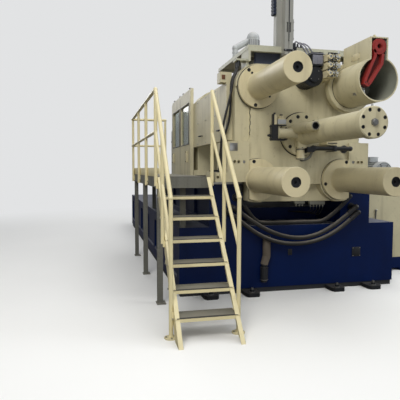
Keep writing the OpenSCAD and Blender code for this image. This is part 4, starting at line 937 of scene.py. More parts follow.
class Fasteners:
    """Socket screws, hexagon bolts and rivets, set by geometry nodes on looking points."""

    def __init__(self, shop: Paintshop) -> None:
        """Builds the tree.

        Args:
            shop: The materials.
        """
        self.shop = shop
        self.tree = self._tree()

    def _tree(self) -> GeometryTree:
        """Builds a head with a socket and copies it to each point.

        Returns:
            The tree.
        """
        build = GeometryTree("screw_heads", {
            "Sides": ("NodeSocketInt", 18),
            "Head Radius": ("NodeSocketFloat", 0.015),
            "Head Height": ("NodeSocketFloat", 0.016),
            "Socket": ("NodeSocketFloat", 0.55),
            "Socket Depth": ("NodeSocketFloat", 0.008),
            "Material": ("NodeSocketMaterial", None),
        })
        given = build.given.outputs
        disc = build.add("GeometryNodeMeshCircle", fill_type="NGON")
        build.link(given["Sides"], disc.inputs["Vertices"])
        build.link(given["Head Radius"], disc.inputs["Radius"])
        body = build.add("GeometryNodeExtrudeMesh", mode="FACES")
        build.link(disc.outputs[0], body.inputs["Mesh"])
        build.link(given["Head Height"], body.inputs["Offset Scale"])
        inset = build.add("GeometryNodeExtrudeMesh", {"Offset Scale": 0.0}, mode="FACES")
        build.link(body.outputs["Mesh"], inset.inputs["Mesh"])
        build.link(body.outputs["Top"], inset.inputs["Selection"])
        shrink = build.add("GeometryNodeScaleElements", domain="FACE")
        build.link(inset.outputs["Mesh"], shrink.inputs["Geometry"])
        build.link(inset.outputs["Top"], shrink.inputs["Selection"])
        build.link(given["Socket"], shrink.inputs["Scale"])
        sink = build.add("GeometryNodeExtrudeMesh", mode="FACES")
        build.link(shrink.outputs[0], sink.inputs["Mesh"])
        build.link(inset.outputs["Top"], sink.inputs["Selection"])
        build.link(build.math("MULTIPLY", given["Socket Depth"], -1.0), sink.inputs["Offset Scale"])
        build.scatter(sink.outputs["Mesh"])
        return build

    def heads(self, name: str, places: Sequence[tuple[Point, Point]], radius: float, height: float,
              sides: int = 18, socket: float = 0.55, slot: Slot = Slot.BLACK) -> bpy.types.Object:
        """Sets heads on points.

        Args:
            name: Name of the piece.
            places: Seat and direction of each head.
            radius: Radius of a head.
            height: Height of a head.
            sides: 6 for a hexagon.
            socket: Width of the socket as a share of the head.
            slot: Finish.

        Returns:
            The piece.
        """
        made = self.tree.run(points_mesh(name, places), name, {
            "Sides": sides, "Head Radius": radius, "Head Height": height, "Socket": socket,
            "Socket Depth": height * (0.5 if socket < 0.9 else 0.05), "Material": self.shop.materials[slot],
        })
        return settle(made, self.shop, slot)

    def hexagons(self, name: str, places: Sequence[tuple[Point, Point]], radius: float, height: float,
                 slot: Slot = Slot.BLACK) -> bpy.types.Object:
        """Sets plain hexagon heads on points.

        Args:
            name: Name of the piece.
            places: Seat and direction of each head.
            radius: Radius over the corners.
            height: Height of a head.
            slot: Finish.

        Returns:
            The piece.
        """
        return self.heads(name, places, radius, height, HEXAGON, 0.92, slot)


@dataclass(frozen=True)
class Layout:
    """Main sizes of the CAD part, in metres, that the details are set out from."""

    front: float = -3.45
    face: float = -3.616
    moving_y: float = -1.696
    moving_back: float = -1.296
    fixed_back: float = 0.004
    shot_back: float = 1.454
    axis: float = 1.89
    tie: float = 0.525
    way: float = 1.34
    foot_top: float = 1.80
    top: float = 2.675
    low: float = 1.105
    base: float = 0.81
    roof: float = 2.846
    roof_y: float = -3.676
    mouth: float = -4.336
    shot_z: float = 1.69
    waist: float = 0.625

    @property
    def roof_top(self) -> float:
        """Height of the roof's upper side."""
        return self.roof + 0.016


AT = Layout()


def in_plane(y: float, places: Iterable[tuple[int, int]]) -> list[Point]:
    """Turns places in a plane across the machine into points.

    Args:
        y: Where the plane is, in metres.
        places: Distance across and height of each place, in millimetres.

    Returns:
        The points.
    """
    return [(x / 1000, y, z / 1000) for x, z in places]


@dataclass
class Hoses:
    """Hoses on the front and side, smooth tubes along the routes of the CAD solids."""

    shop: Paintshop
    big: float = 0.050
    small: float = 0.026
    hang: float = 0.125

    def upper(self) -> list[Point]:
        """Route of the upper front hose."""
        return in_plane(AT.front - self.hang, (
            (-735, 1003), (-690, 972), (-590, 903), (-490, 840), (-400, 789), (-290, 739), (-170, 699), (-30, 673),
            (110, 672), (250, 700), (370, 747), (480, 806), (590, 880), (690, 955), (735, 990)))

    def lower(self) -> list[Point]:
        """Route of the lower front hose."""
        return in_plane(AT.front - self.hang, (
            (-790, 950), (-745, 915), (-640, 834), (-540, 763), (-430, 700), (-300, 646), (-160, 612), (-20, 600),
            (120, 605), (260, 630), (390, 674), (500, 729), (610, 800), (720, 886), (765, 922)))

    def shelf(self) -> list[Point]:
        """Route of the hose that lies on the base's edge."""
        return [(x / 1000, AT.front + y / 1000, z / 1000) for x, y, z in (
            (-690, -60, 1110), (-655, -60, 1072), (-600, -45, 1010), (-540, -12, 942), (-475, 20, 882), (-400, 42, 845),
            (-300, 50, 836), (-150, 52, 836), (0, 46, 836), (150, 52, 836), (300, 50, 836), (400, 42, 845),
            (475, 20, 882), (540, -12, 942), (600, -45, 1010), (655, -60, 1072), (690, -60, 1110))]

    def side(self, offset: float, rear: bool) -> list[Point]:
        """Route of a hose at the end plate's side.

        Args:
            offset: Distance behind the plate's face.
            rear: Whether it is the rear one.

        Returns:
            Its points.
        """
        top = ((-745, 2670), (-751, 2625), (-775, 2565), (-801, 2505))
        if rear:
            rest = (
                (-812, 2440), (-815, 2335), (-818, 2185), (-834, 2045), (-867, 1927), (-902, 1820), (-930, 1710),
                (-943, 1600), (-945, 1500),
            )
        else:
            rest = (
                (-815, 2440), (-827, 2366), (-866, 2206), (-904, 2054), (-928, 1935), (-940, 1820), (-945, 1700),
                (-945, 1600), (-945, 1500),
            )
        return in_plane(AT.face + offset, (*top, *rest))

    def _tree(self) -> GeometryTree:
        """Builds the tree that sweeps a round section along a curve.

        Returns:
            The tree.
        """
        build = GeometryTree(
            "hose_sweep", {"Radius": ("NodeSocketFloat", 0.025), "Material": ("NodeSocketMaterial", None)},
        )
        section = build.add("GeometryNodeCurvePrimitiveCircle", {"Resolution": 20})
        build.link(build.given.outputs["Radius"], section.inputs["Radius"])
        sweep = build.add("GeometryNodeCurveToMesh", {"Fill Caps": True})
        build.link(build.given.outputs["Geometry"], sweep.inputs["Curve"])
        build.link(section.outputs[0], sweep.inputs["Profile Curve"])
        build.close(sweep.outputs[0])
        return build

    def build(self) -> None:
        """Makes all hoses, in place of their CAD solids."""
        tree = self._tree()
        for name, points, width, slot in (
            ("hose_upper", self.upper(), self.big, Slot.HOSE),
            ("hose_lower", self.lower(), self.big, Slot.HOSE),
            ("hose_shelf", self.shelf(), self.big, Slot.HOSE),
            ("side_hose_front", self.side(0.030, False), self.small, Slot.SIDE_HOSE),
            ("side_hose_rear", self.side(0.095, True), self.small, Slot.SIDE_HOSE),
        ):
            line = smooth_line(points, 5)
            piece = tree.run(path_curve(name + "_line", line), name + "_rubber", {
                "Radius": width / 2 * 0.995, "Material": self.shop.materials[slot],
            })
            settle(piece, self.shop, slot, angle=60.0)
            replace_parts(piece, name)


@dataclass
class Studio:
    """Camera at the photograph's place, soft lights and a pale floor."""

    place: Point = (-2.328, -8.538, 1.487)
    tilt: float = 86.08
    roll: float = -0.11
    heading: float = -12.97
    lens: float = 40.74
    floor: Rgb = srgb(244, 244, 242)
    backdrop: Rgb = srgb(226, 227, 228)

    def camera(self) -> None:
        """Sets the camera."""
        data = bpy.data.cameras.new("camera")
        data.lens = self.lens
        data.sensor_width = 36.0
        camera = add_object("camera", data)
        camera.location = self.place
        camera.rotation_euler = (math.radians(self.tilt), math.radians(self.roll), math.radians(self.heading))
        bpy.context.scene.camera = camera

    def lamp(self, name: str, place: Point, aim: Point, size: float, power: float, color: Rgb = (1, 1, 1)) -> None:
        """Sets one soft lamp.

        Args:
            name: Name of the lamp.
            place: Where it hangs.
            aim: What it looks at.
            size: Side of its square.
            power: Power in watts.
            color: Colour of its light.
        """
        data = bpy.data.lights.new(name, "AREA")
        data.size = size
        data.energy = power
        data.color = color
        lamp = add_object(name, data)
        lamp.location = place
        lamp.rotation_euler = (Vector(aim) - Vector(place)).to_track_quat("-Z", "Y").to_euler()

    def lights(self) -> None:
        """Sets the lamps and the world."""
        self.lamp("key", (-4.5, -9.5, 7.0), (0, -3.0, 1.6), 4.0, 450.0, (1.0, 0.98, 0.94))
        self.lamp("top", (1.0, -2.5, 8.0), (0, -1.5, 1.0), 7.0, 345.0)
        self.lamp("right", (7.0, -6.0, 4.0), (0, -2.5, 1.5), 4.0, 230.0, (0.95, 0.98, 1.0))
        self.lamp("rear", (-3.0, 8.5, 6.0), (0, 0.5, 1.2), 5.0, 240.0)
        self.lamp("low", (-1.2, -9.0, 1.1), (0.1, -3.4, 0.7), 3.0, 34.0, (0.97, 0.98, 1.0))
        world = bpy.data.worlds.new("studio")
        world.use_nodes = True
        build = NodeTree(world.node_tree)
        glow = world.node_tree.nodes["Background"]
        path = build.add("ShaderNodeLightPath")
        seen = build.math("MAXIMUM", path.outputs["Is Camera Ray"], path.outputs["Is Transmission Ray"])
        build.link(build.blend(seen, (0.92, 0.95, 1.0), self.backdrop), glow.inputs["Color"])
        build.link(build.math("ADD", build.math("MULTIPLY", seen, 0.72), 0.28), glow.inputs["Strength"])
        bpy.context.scene.world = world
        bpy.context.scene.view_settings.view_transform = "Standard"

    def ground(self) -> None:
        """Lays the floor."""
        mesh = bpy.data.meshes.new("floor")
        mesh.from_pydata([(-60, -60, 0), (60, -60, 0), (60, 60, 0), (-60, 60, 0)], [], [(0, 1, 2, 3)])
        floor = add_object("floor", mesh)
        material, build, shader = new_material("floor")
        shader.inputs["Roughness"].default_value = 0.8
        shader.inputs["Specular IOR Level"].default_value = 0.1
        path = build.add("ShaderNodeLightPath")
        tone = build.blend(build.noise(0.8, 5.0), self.floor, tuple(c * 0.96 for c in self.floor))
        tone = build.blend(path.outputs["Is Camera Ray"], srgb(112, 108, 100), tone)
        build.link(tone, shader.inputs["Base Color"])
        place = build.add("ShaderNodeTexCoord")
        away = build.add("ShaderNodeVectorMath", operation="LENGTH")
        build.link(place.outputs["Object"], away.inputs[0])
        glow = build.add("ShaderNodeEmission", {"Color": (*self.backdrop, 1.0), "Strength": 1.0})
        mixed = build.add("ShaderNodeMixShader")
        build.link(
            build.math("MULTIPLY", build.ramp(away.outputs["Value"], 4.8, 9.5), path.outputs["Is Camera Ray"]),
            mixed.inputs[0],
        )
        build.link(shader.outputs[0], mixed.inputs[1])
        build.link(glow.outputs[0], mixed.inputs[2])
        build.link(mixed.outputs[0], material.node_tree.nodes["Material Output"].inputs["Surface"])
        mesh.materials.append(material)


def on_circle(
    x: float, y: float, z: float, radius: float, count: int, start: float, way: Point,
) -> list[tuple[Point, Point]]:
    """Places around a circle in a plane across the machine.

    Args:
        x: Centre across.
        y: Plane of the seats.
        z: Centre height.
        radius: Radius of the circle.
        count: Number of places.
        start: Angle of the first in degrees, from +X towards +Z.
        way: Direction that they look in.

    Returns:
        Seats and directions.
    """
    angles = [math.radians(start) + math.tau * k / count for k in range(count)]
    return [((x + radius * math.cos(a), y, z + radius * math.sin(a)), way) for a in angles]


@dataclass
class Details:
    """A group of details, with the materials and fasteners that it is built from."""

    shop: Paintshop
    fasteners: Fasteners


@dataclass
class PlateDetails(Details):
    """Screws, plugs, plates and gaskets on the end plate and what is bolted to it, with painted shade in the
    counterbores and painted shadow lines.
    """

    depth: float = 0.026

    def flange_screws(self) -> None:
        """Sets the socket screws in the counterbores of the flanges, with flat black rings at the counterbores' mouths
        that paint their shade.
        """
        seats = []
        for x, z, angles in (
            (-AT.tie, AT.tie, (125, 12, 259)), (-AT.tie, -AT.tie, (104, 224, 344)), (AT.tie, -AT.tie, (194, 314, 74)),
        ):
            for angle in angles:
                seats += on_circle(x, AT.face - 0.048 + self.depth, AT.axis + z, 0.214, 1, angle, FORWARD)
        seats = [s for s in seats if s[0][2] > AT.axis or abs(s[0][0]) < AT.waist - 0.025]
        seats += on_circle(0, AT.face - 0.055 + self.depth, AT.axis, 0.204, 12, 15, FORWARD)
        self.fasteners.heads("flange_screws", seats, 0.0166, 0.0235)
        cap = on_circle(0, AT.face - 1.45 + self.depth, AT.axis, 0.1125, 8, 22.5, FORWARD)
        self.fasteners.heads("cylinder_cap_screws", cap, 0.0164, 0.0235)
        small = [
            s
            for angle in (121, 319)
            for s in on_circle(-AT.tie, AT.face - 0.048, AT.axis + AT.tie, 0.168, 1, angle, FORWARD)
        ]
        self.fasteners.heads("flange_grub_screws", small, 0.0125, 0.004, 16)
        # Painted shade: flat black rings at each counterbore's mouth stand in for the shade inside it.
        rims = Shape("counterbore_shade_rings")
        for (x, y, z), _ in seats:
            rims.ring((x, y - self.depth + 0.0001, z), FORWARD, 0.0168, 0.0208, 0.0008, 28)
        rims.done(self.shop, Slot.BLACK)

    def gaskets(self) -> None:
        """Lays dark rings and lines round the flanges, partly their joints and partly painted shadow that the proud
        flanges cast on the plate.
        """
        # Dark rings wider than the joints, painting the shadow lines round the flanges.
        joint_and_shadow = Shape("flange_joints_and_shadows")
        joint_and_shadow.ring((-AT.tie, AT.face - 0.009, AT.axis + AT.tie), REARWARD, 0.15, 0.2475, 0.010, 64)
        joint_and_shadow.ring((0, AT.face - 0.008, AT.axis), REARWARD, 0.16, 0.2565, 0.009, 64)
        joint_and_shadow.ring((AT.tie, AT.face - 0.003, AT.axis + AT.tie), REARWARD, 0.17, 0.1885, 0.004, 64)
        joint_and_shadow.ring((AT.tie, AT.face - 0.204, AT.axis + AT.tie), REARWARD, 0.2295, 0.234, 0.004, 64)
        # Painted shadow: dark lines round the edges of the lower flanges.
        joint_shadow_radius = 0.2425
        for side in (-1, 1):
            line = [
                (
                    side * (AT.tie - joint_shadow_radius * math.cos(a)), AT.face - 0.0015,
                    AT.axis - AT.tie + joint_shadow_radius * math.sin(a),
                )
                for a in (math.radians(turn - 90) for turn in range(0, 361, 6))
            ]
            line = [p for p in line if abs(p[0]) < AT.waist and p[2] > AT.low + 0.01]
            joint_and_shadow.tube(line, 0.0035, 6)
        joint_and_shadow.done(self.shop, Slot.BLACK)
        plugs = Shape("cover_bore_plugs")
        for side, up in ((-1, 1), (-1, -1), (1, -1)):
            x, y, z = side * AT.tie, AT.face - 1.05, AT.axis + up * AT.tie
            plugs.ring((x, y + 0.0005, z), REARWARD, 0.0465, 0.0507, 0.028, 48)
            plugs.ring((x, y + 0.022, z), REARWARD, 0.018, 0.0507, 0.006, 48)
            plugs.bar((x, y + 0.05, z), (x, y + 0.056, z), 0.0507, sides=48)
        plugs.done(self.shop, Slot.BLACK)

    def seams(self) -> None:
        """Lays an uneven dark bead along the machined strips' edges, a painted shadow of the recess edge."""
        # Painted shadow: a thin dark wavy tube along each strip's recess edge.
        edge_shadow = Shape("strip_edge_shadow")
        for side in (-1, 1):
            line = [
                (
                    side * (0.6135 + 0.005 * math.sin(k * 1.7) + 0.003 * math.sin(k * 0.6)), AT.face - 0.0005,
                    AT.foot_top + 0.07 + k * 0.021,
                )
                for k in range(17)
            ]
            edge_shadow.tube(smooth_line(line, 3), 0.0035, 6)
        edge_shadow.done(self.shop, Slot.BLACK, angle=60)

    def plugs(self) -> None:
        """Fills one dowel hole a side, rims the others and sets the bare plate on the left foot."""
        y = AT.face - 0.025
        row = AT.way + 0.23
        plug = Shape("dowel_plugs")
        rims = Shape("dowel_rims")
        for side in (-1, 1):
            plug.turned((side * 0.687, y + 0.012, row), FORWARD, [(0.0165, 0.0), (0.0165, 0.008), (0.0145, 0.011)], 24)
            for x in (0.753, 0.800):
                rims.ring((side * x, y + 0.002, row), FORWARD, 0.0172, 0.0225, 0.004, 24)
            rims.ring((side * 0.995, y + 0.002, AT.way + 0.055), FORWARD, 0.0172, 0.0225, 0.004, 24)
        plug.done(self.shop, Slot.GROUND)
        rims.done(self.shop, Slot.CREAM)
        plate = Shape("bare_plate").box((-0.860, y - 0.003, 1.690), (-0.766, y, 1.780), 0.001)
        plate.done(self.shop, Slot.GROUND)
        rivets = [((x, y - 0.003, z), FORWARD) for x in (-0.853, -0.773) for z in (1.697, 1.773)]
        self.fasteners.heads("plate_rivets", rivets, 0.003, 0.002, 12, 0.3, Slot.GROUND)

    def foot_bolts(self) -> None:
        """Sets the hexagon bolts that hold the feet down on the bed walls."""
        seats = [((side * 0.958, AT.face + dy, AT.way + 0.11), UP) for side in (-1, 1) for dy in (0.17, 0.30, 0.40)]
        washers = Shape("foot_washers")
        for (x, y, z), _ in seats:
            washers.ring((x, y, z), UP, 0.014, 0.034, 0.005, 28)
        washers.done(self.shop, Slot.GROUND)
        self.fasteners.hexagons("foot_bolts", [((x, y, z + 0.004), w) for (x, y, z), w in seats], 0.026, 0.022)

    def way_wipers(self) -> None:
        """Sets wiper strips before the shoes of the platens."""
        strips = Shape("way_wipers")
        for side in (-1, 1):
            for y in (AT.moving_y, AT.moving_back + 0.02):
                strips.box((side * 0.655, y - 0.02, AT.way + 0.001), (side * 0.835, y, AT.way + 0.05), 0.003)
        strips.done(self.shop, Slot.BLACK)

    def build(self) -> None:
        """Builds all of them."""
        self.flange_screws()
        self.gaskets()
        self.seams()
        self.plugs()
        self.foot_bolts()
        self.way_wipers()


@dataclass
class CylinderDetails(Details):
    """Rings, plugs, valves and connectors of the closing cylinder."""

    port: Point = (-0.130, -4.256, 1.931)

    def port_rings(self) -> None:
        """Rims the open port, lines its bore and bands the cylinder's joints."""
        x, y, z = self.port
        mouth_x, mouth_z = x - 0.030, z - 0.006
        nose = Shape("port_nose").ring((mouth_x, y + 0.01, mouth_z), FORWARD, 0.0355, 0.047, 0.068, 48)
        nose.bar((x - 0.022, y + 0.16, z - 0.004), (mouth_x, y + 0.008, mouth_z), 0.040, 0.047, 40)
        nose.done(self.shop, Slot.CREAM)
        ring = Shape("port_ring").ring((mouth_x, y - 0.058, mouth_z), FORWARD, 0.0355, 0.0445, 0.003, 48)
        ring.done(self.shop, Slot.GROUND)
        lining = Shape("port_lining").ring((mouth_x, y - 0.056, mouth_z), REARWARD, 0.033, 0.0356, 0.062, 48)
        lining.bar((mouth_x, y + 0.006, mouth_z), (mouth_x, y + 0.0085, mouth_z), 0.0352)
        lining.done(self.shop, Slot.BLACK)
        bands = Shape("cylinder_bands")
        bands.ring((0, AT.face - 1.366, AT.axis), FORWARD, 0.12, 0.1345, 0.013, 48)
        bands.ring((-0.156, AT.face - 0.16, AT.axis - 0.004), LEFT, 0.05, 0.062, 0.012, 40)
        bands.ring((-0.330, AT.face - 0.16, AT.axis - 0.004), LEFT, 0.05, 0.064, 0.019, 40)
        bands.done(self.shop, Slot.CREAM)

    def cap_plug(self) -> None:
        """Sets the hexagon plug and bleed screw of the cap."""
        plug = Shape("cap_plug")
        plug.bar((0, AT.face - 1.45, AT.axis), (0, AT.face - 1.466, AT.axis), 0.034, sides=HEXAGON)
        plug.bar((0, AT.face - 1.466, AT.axis), (0, AT.face - 1.472, AT.axis), 0.024, 0.02, 24)
        plug.bar((0.0, AT.face - 1.42, AT.axis + 0.139), (0, AT.face - 1.42, AT.axis + 0.156), 0.012, sides=HEXAGON)
        plug.done(self.shop, Slot.GROUND)

    def switch_block(self) -> None:
        """Sets screws and glands on the bracket-shaped block, and the pilot valve's head."""
        x = -0.425
        y = AT.face - 0.16
        seats = [((x, y + dy, AT.axis + dz), LEFT) for dy in (-0.02, 0.02) for dz in (-0.066, 0.07)]
        seats += [((dx, y - 0.03, AT.axis + dz), FORWARD) for dx in (-0.412, -0.363) for dz in (-0.072, 0.076)]
        self.fasteners.heads("block_screws", seats, 0.008, 0.006)
        glands = Shape("block_glands")
        glands.bar((x, y, AT.axis - 0.03), (x - 0.022, y, AT.axis - 0.03), 0.018, sides=HEXAGON)
        glands.bar((x - 0.022, y, AT.axis - 0.03), (x - 0.038, y, AT.axis - 0.03), 0.014, 0.011)
        glands.bar((-0.306, y, AT.axis + 0.19), (-0.306, y, AT.axis + 0.204), 0.018, sides=HEXAGON)
        glands.bar((-0.384, y, AT.axis + 0.20), (-0.384, y, AT.axis + 0.222), 0.012, sides=HEXAGON)
        glands.box((-0.409, y - 0.032, AT.axis + 0.085), (-0.396, y + 0.026, AT.axis + 0.205), 0.002)
        glands.done(self.shop, Slot.BLACK)
        block = Shape("pilot_valve_head").box(
            (-0.3545, y - 0.0345, AT.axis + 0.094), (-0.2575, y + 0.0345, AT.axis + 0.146), 0.003,
        )
        for z in (0.100, 0.118, 0.136):
            block.box((-0.353, y - 0.033, AT.axis + z), (-0.259, y + 0.033, AT.axis + z + 0.006), 0.001)
        block.done(self.shop, Slot.BLOWER)

    def pipe_clips(self) -> None:
        """Nuts and clips of the pressure pipe and the stub under the body."""
        z = AT.axis - 0.165
        y = AT.face - 0.15
        clips = Shape("pipe_clips")
        clips.bar((0.093, y, z), (0.122, y, z), 0.033, sides=HEXAGON)
        clips.bar((0.122, y, z), (0.136, y, z), 0.029, 0.0265)
        clips.box((0.34, AT.face - 0.178, z - 0.034), (0.375, AT.face, z - 0.0255), 0.002)
        clips.box((0.34, AT.face - 0.178, z + 0.0255), (0.375, AT.face, z + 0.034), 0.002)
        clips.box((0.34, AT.face - 0.183, z - 0.034), (0.375, AT.face - 0.176, z + 0.034), 0.002)
        clips.done(self.shop, Slot.BLACK)
        stub = Shape("stub_collars")
        for at in (0.155, 0.175, 0.280):
            stub.ring((-0.045, AT.face - 0.12, AT.axis - at), DOWN, 0.04, 0.051, 0.012, 36)
        stub.done(self.shop, Slot.CAST)
        level = AT.face - 0.12
        bend = [
            (-0.045, level, AT.axis - 0.285), (-0.030, level, AT.axis - 0.300), (0.02, level, AT.axis - 0.292),
            (0.068, level, AT.axis - 0.262), (0.085, level - 0.015, AT.axis - 0.215),
            (0.088, level - 0.03, AT.axis - 0.175),
        ]
        Shape("return_bend").tube(smooth_line(bend, 6), 0.015, 14).done(self.shop, Slot.CAST, angle=60)
        slot = Shape("bar_slot").box(
            (0.27, AT.face - 0.172, AT.axis - 0.111), (0.385, AT.face - 0.169, AT.axis - 0.099),
        )
        slot.done(self.shop, Slot.BLACK)

    def build(self) -> None:
        """Builds all of them."""
        self.port_rings()
        self.cap_plug()
        self.switch_block()
        self.pipe_clips()


@dataclass
class MotorDetails(Details):
    """Fins and boxes of the die height motor, and coils and caps of the valves beside it."""

    x: float = 0.032
    z: float = 2.520
    radius: float = 0.115
    valve_foot: float = 2.480
    valve_gap: float = 0.012
    valve_pitch: float = 0.088

    def fins(self) -> None:
        """Sets the motor's cooling fins, fan cowl and terminal box, with the leads and conduits that join it."""
        fins = Shape("motor_fins")
        for k in range(28):
            a = math.tau * k / 28
            if 0.75 < a < 2.4:
                continue
            out = Vector((math.cos(a), 0.0, math.sin(a)))
            side = Vector((-out.z, 0.0, out.x)) * 0.002
            base = Vector((self.x, 0.0, self.z)) + out * (self.radius - 0.001)
            tip = base + out * 0.009
            outline = [(p.x, p.z) for p in (base - side, base + side, tip + side, tip - side)]
            fins.prism(outline, AT.face - 0.21, AT.face - 0.03, "Y")
        fins.ring((self.x, AT.face - 0.215, self.z), FORWARD, self.radius - 0.002, self.radius + 0.007, 0.022, 48)
        fins.done(self.shop, Slot.BLACK)
        box = Shape("motor_terminal_box")
        box.box((0.001, AT.face - 0.274, 2.752), (0.139, AT.face - 0.086, 2.761), 0.002)
        box.box((0.008, AT.face - 0.276, 2.64), (0.132, AT.face - 0.27, 2.74), 0.004)
        for z in (2.665, 2.71):
            box.bar((0.135, AT.face - 0.17, z), (0.158, AT.face - 0.17, z), 0.016, sides=HEXAGON)
        for x in (0.022, 0.062, 0.102):
            box.box((x, AT.face - 0.280, 2.652), (x + 0.010, AT.face - 0.274, 2.728), 0.002)
        grey = self.shop.special("grey_cover", Slot.BLOWER, color=srgb(124, 125, 136), stains=0.45)
        box.done(self.shop, Slot.BLOWER, grey)
        plugs = Shape("roof_connectors")
        leads = Shape("roof_leads")
        for x, high in ((-0.104, 0.052), (-0.066, 0.044), (-0.024, 0.038)):
            y, low = AT.roof_y + 0.022, AT.roof_top
            plugs.bar((x, y, low), (x, y, low + 0.014), 0.019, sides=HEXAGON)
            plugs.bar((x, y, low + 0.014), (x, y, low + high), 0.013, 0.011)
            route = [(x, y, low + high), (x + 0.02, y - 0.012, low + high + 0.016), (x + 0.07, y - 0.04, low + 0.02),
                     (x + 0.115, y - 0.055, low - 0.05), (x + 0.125, y - 0.075, 2.762)]
            leads.tube(smooth_line(route, 5), 0.0075)
        plugs.done(self.shop, Slot.BLACK)
        leads.done(self.shop, Slot.BLOWER, grey, 60)
        seats = [((x, AT.face - 0.276, z), FORWARD) for x in (0.018, 0.122) for z in (2.65, 2.73)]
        seats += on_circle(self.x, AT.face - 0.285, self.z, 0.062, 4, 45, FORWARD)
        self.fasteners.heads("motor_screws", seats, 0.0055, 0.005, 12, 0.5, Slot.GROUND)
        conduit = Shape("motor_conduits")
        for z, lift, reach in ((2.665, 2.80, 0.24), (2.71, 2.82, 0.20)):
            y = AT.face - 0.17
            route = [
                (0.156, y, z), (0.185, y, z + 0.004), (reach, y + 0.01, z + 0.05),
                (reach + 0.006, y + 0.06, lift - 0.02), (reach - 0.004, AT.face - 0.035, lift + 0.005),
                (reach - 0.01, AT.face + 0.02, lift + 0.008),
            ]
            conduit.tube(smooth_line(route, 5), 0.011)
        conduit.done(self.shop, Slot.SIDE_HOSE, angle=60)

    def coils(self) -> None:
        """Sets solenoid coils, plugs and caps on the valve blocks."""
        coils = Shape("solenoid_coils")
        caps = Shape("solenoid_caps")
        plugs = Shape("valve_plugs")
        manifold, gap, valve = 0.2, 0.01, 0.13
        front = AT.face - manifold - gap - valve
        feet = [self.valve_foot + self.valve_gap + k * self.valve_pitch for k in range(3)]
        for k, foot in enumerate(feet):
            z = foot + 0.037
            for x, size in ((0.172, 0.019), (0.212, 0.012), (0.254, 0.016)):
                caps.bar((x, front, z + 0.004), (x, front - 0.036, z + 0.004), size, size * 0.8)
                caps.bar(
                    (x + 0.006, front, z - 0.024), (x + 0.006, front - 0.02, z - 0.024), size * 0.55, sides=HEXAGON,
                )
                caps.bar(
                    (x - 0.008, front, z + 0.028), (x - 0.008, front - 0.026, z + 0.028), size * 0.5, sides=HEXAGON,
                )
            coils.box((0.188, front - 0.03, z - 0.034), (0.199, front + 0.002, z + 0.034), 0.003)
            coils.box((0.224, front - 0.024, z - 0.03), (0.238, front + 0.002, z + 0.02), 0.003)
            coils.box((0.152, front - 0.018, z + 0.036), (0.262, front + 0.002, z + 0.047), 0.002)
            plugs.bar((0.172, front - 0.036, z + 0.004), (0.172, front - 0.045, z + 0.004), 0.008, sides=HEXAGON)
            x = 0.262 + 0.02 * (k > 0)
            plugs.bar((x, front + 0.05, z + 0.037), (x, front + 0.05, z + 0.049), 0.011, sides=HEXAGON)
        caps.bar((0.30, front + 0.03, 2.755), (0.30, front + 0.03, 2.782), 0.016, 0.012)
        caps.box((0.262, front - 0.02, 2.59), (0.300, front, 2.64), 0.004)
        caps.bar((0.284, front, 2.70), (0.284, front - 0.03, 2.70), 0.014, 0.01)
        coils.done(self.shop, Slot.BLACK)
        caps.done(self.shop, Slot.BLOWER)
        plugs.done(self.shop, Slot.GROUND)
        seats = [((x, front, z + dz), FORWARD) for z in feet for x in (0.157, 0.208, 0.258) for dz in (0.008, 0.066)]
        self.fasteners.heads("valve_screws", seats, 0.005, 0.005, 12)
        side = [((0.150, y, 2.50 + k * 0.08), LEFT) for k in range(4) for y in (AT.face - 0.19, AT.face - 0.03)]
        self.fasteners.heads("manifold_screws", side, 0.008, 0.006)

    def build(self) -> None:
        """Builds all of them."""
        self.fins()
        self.coils()


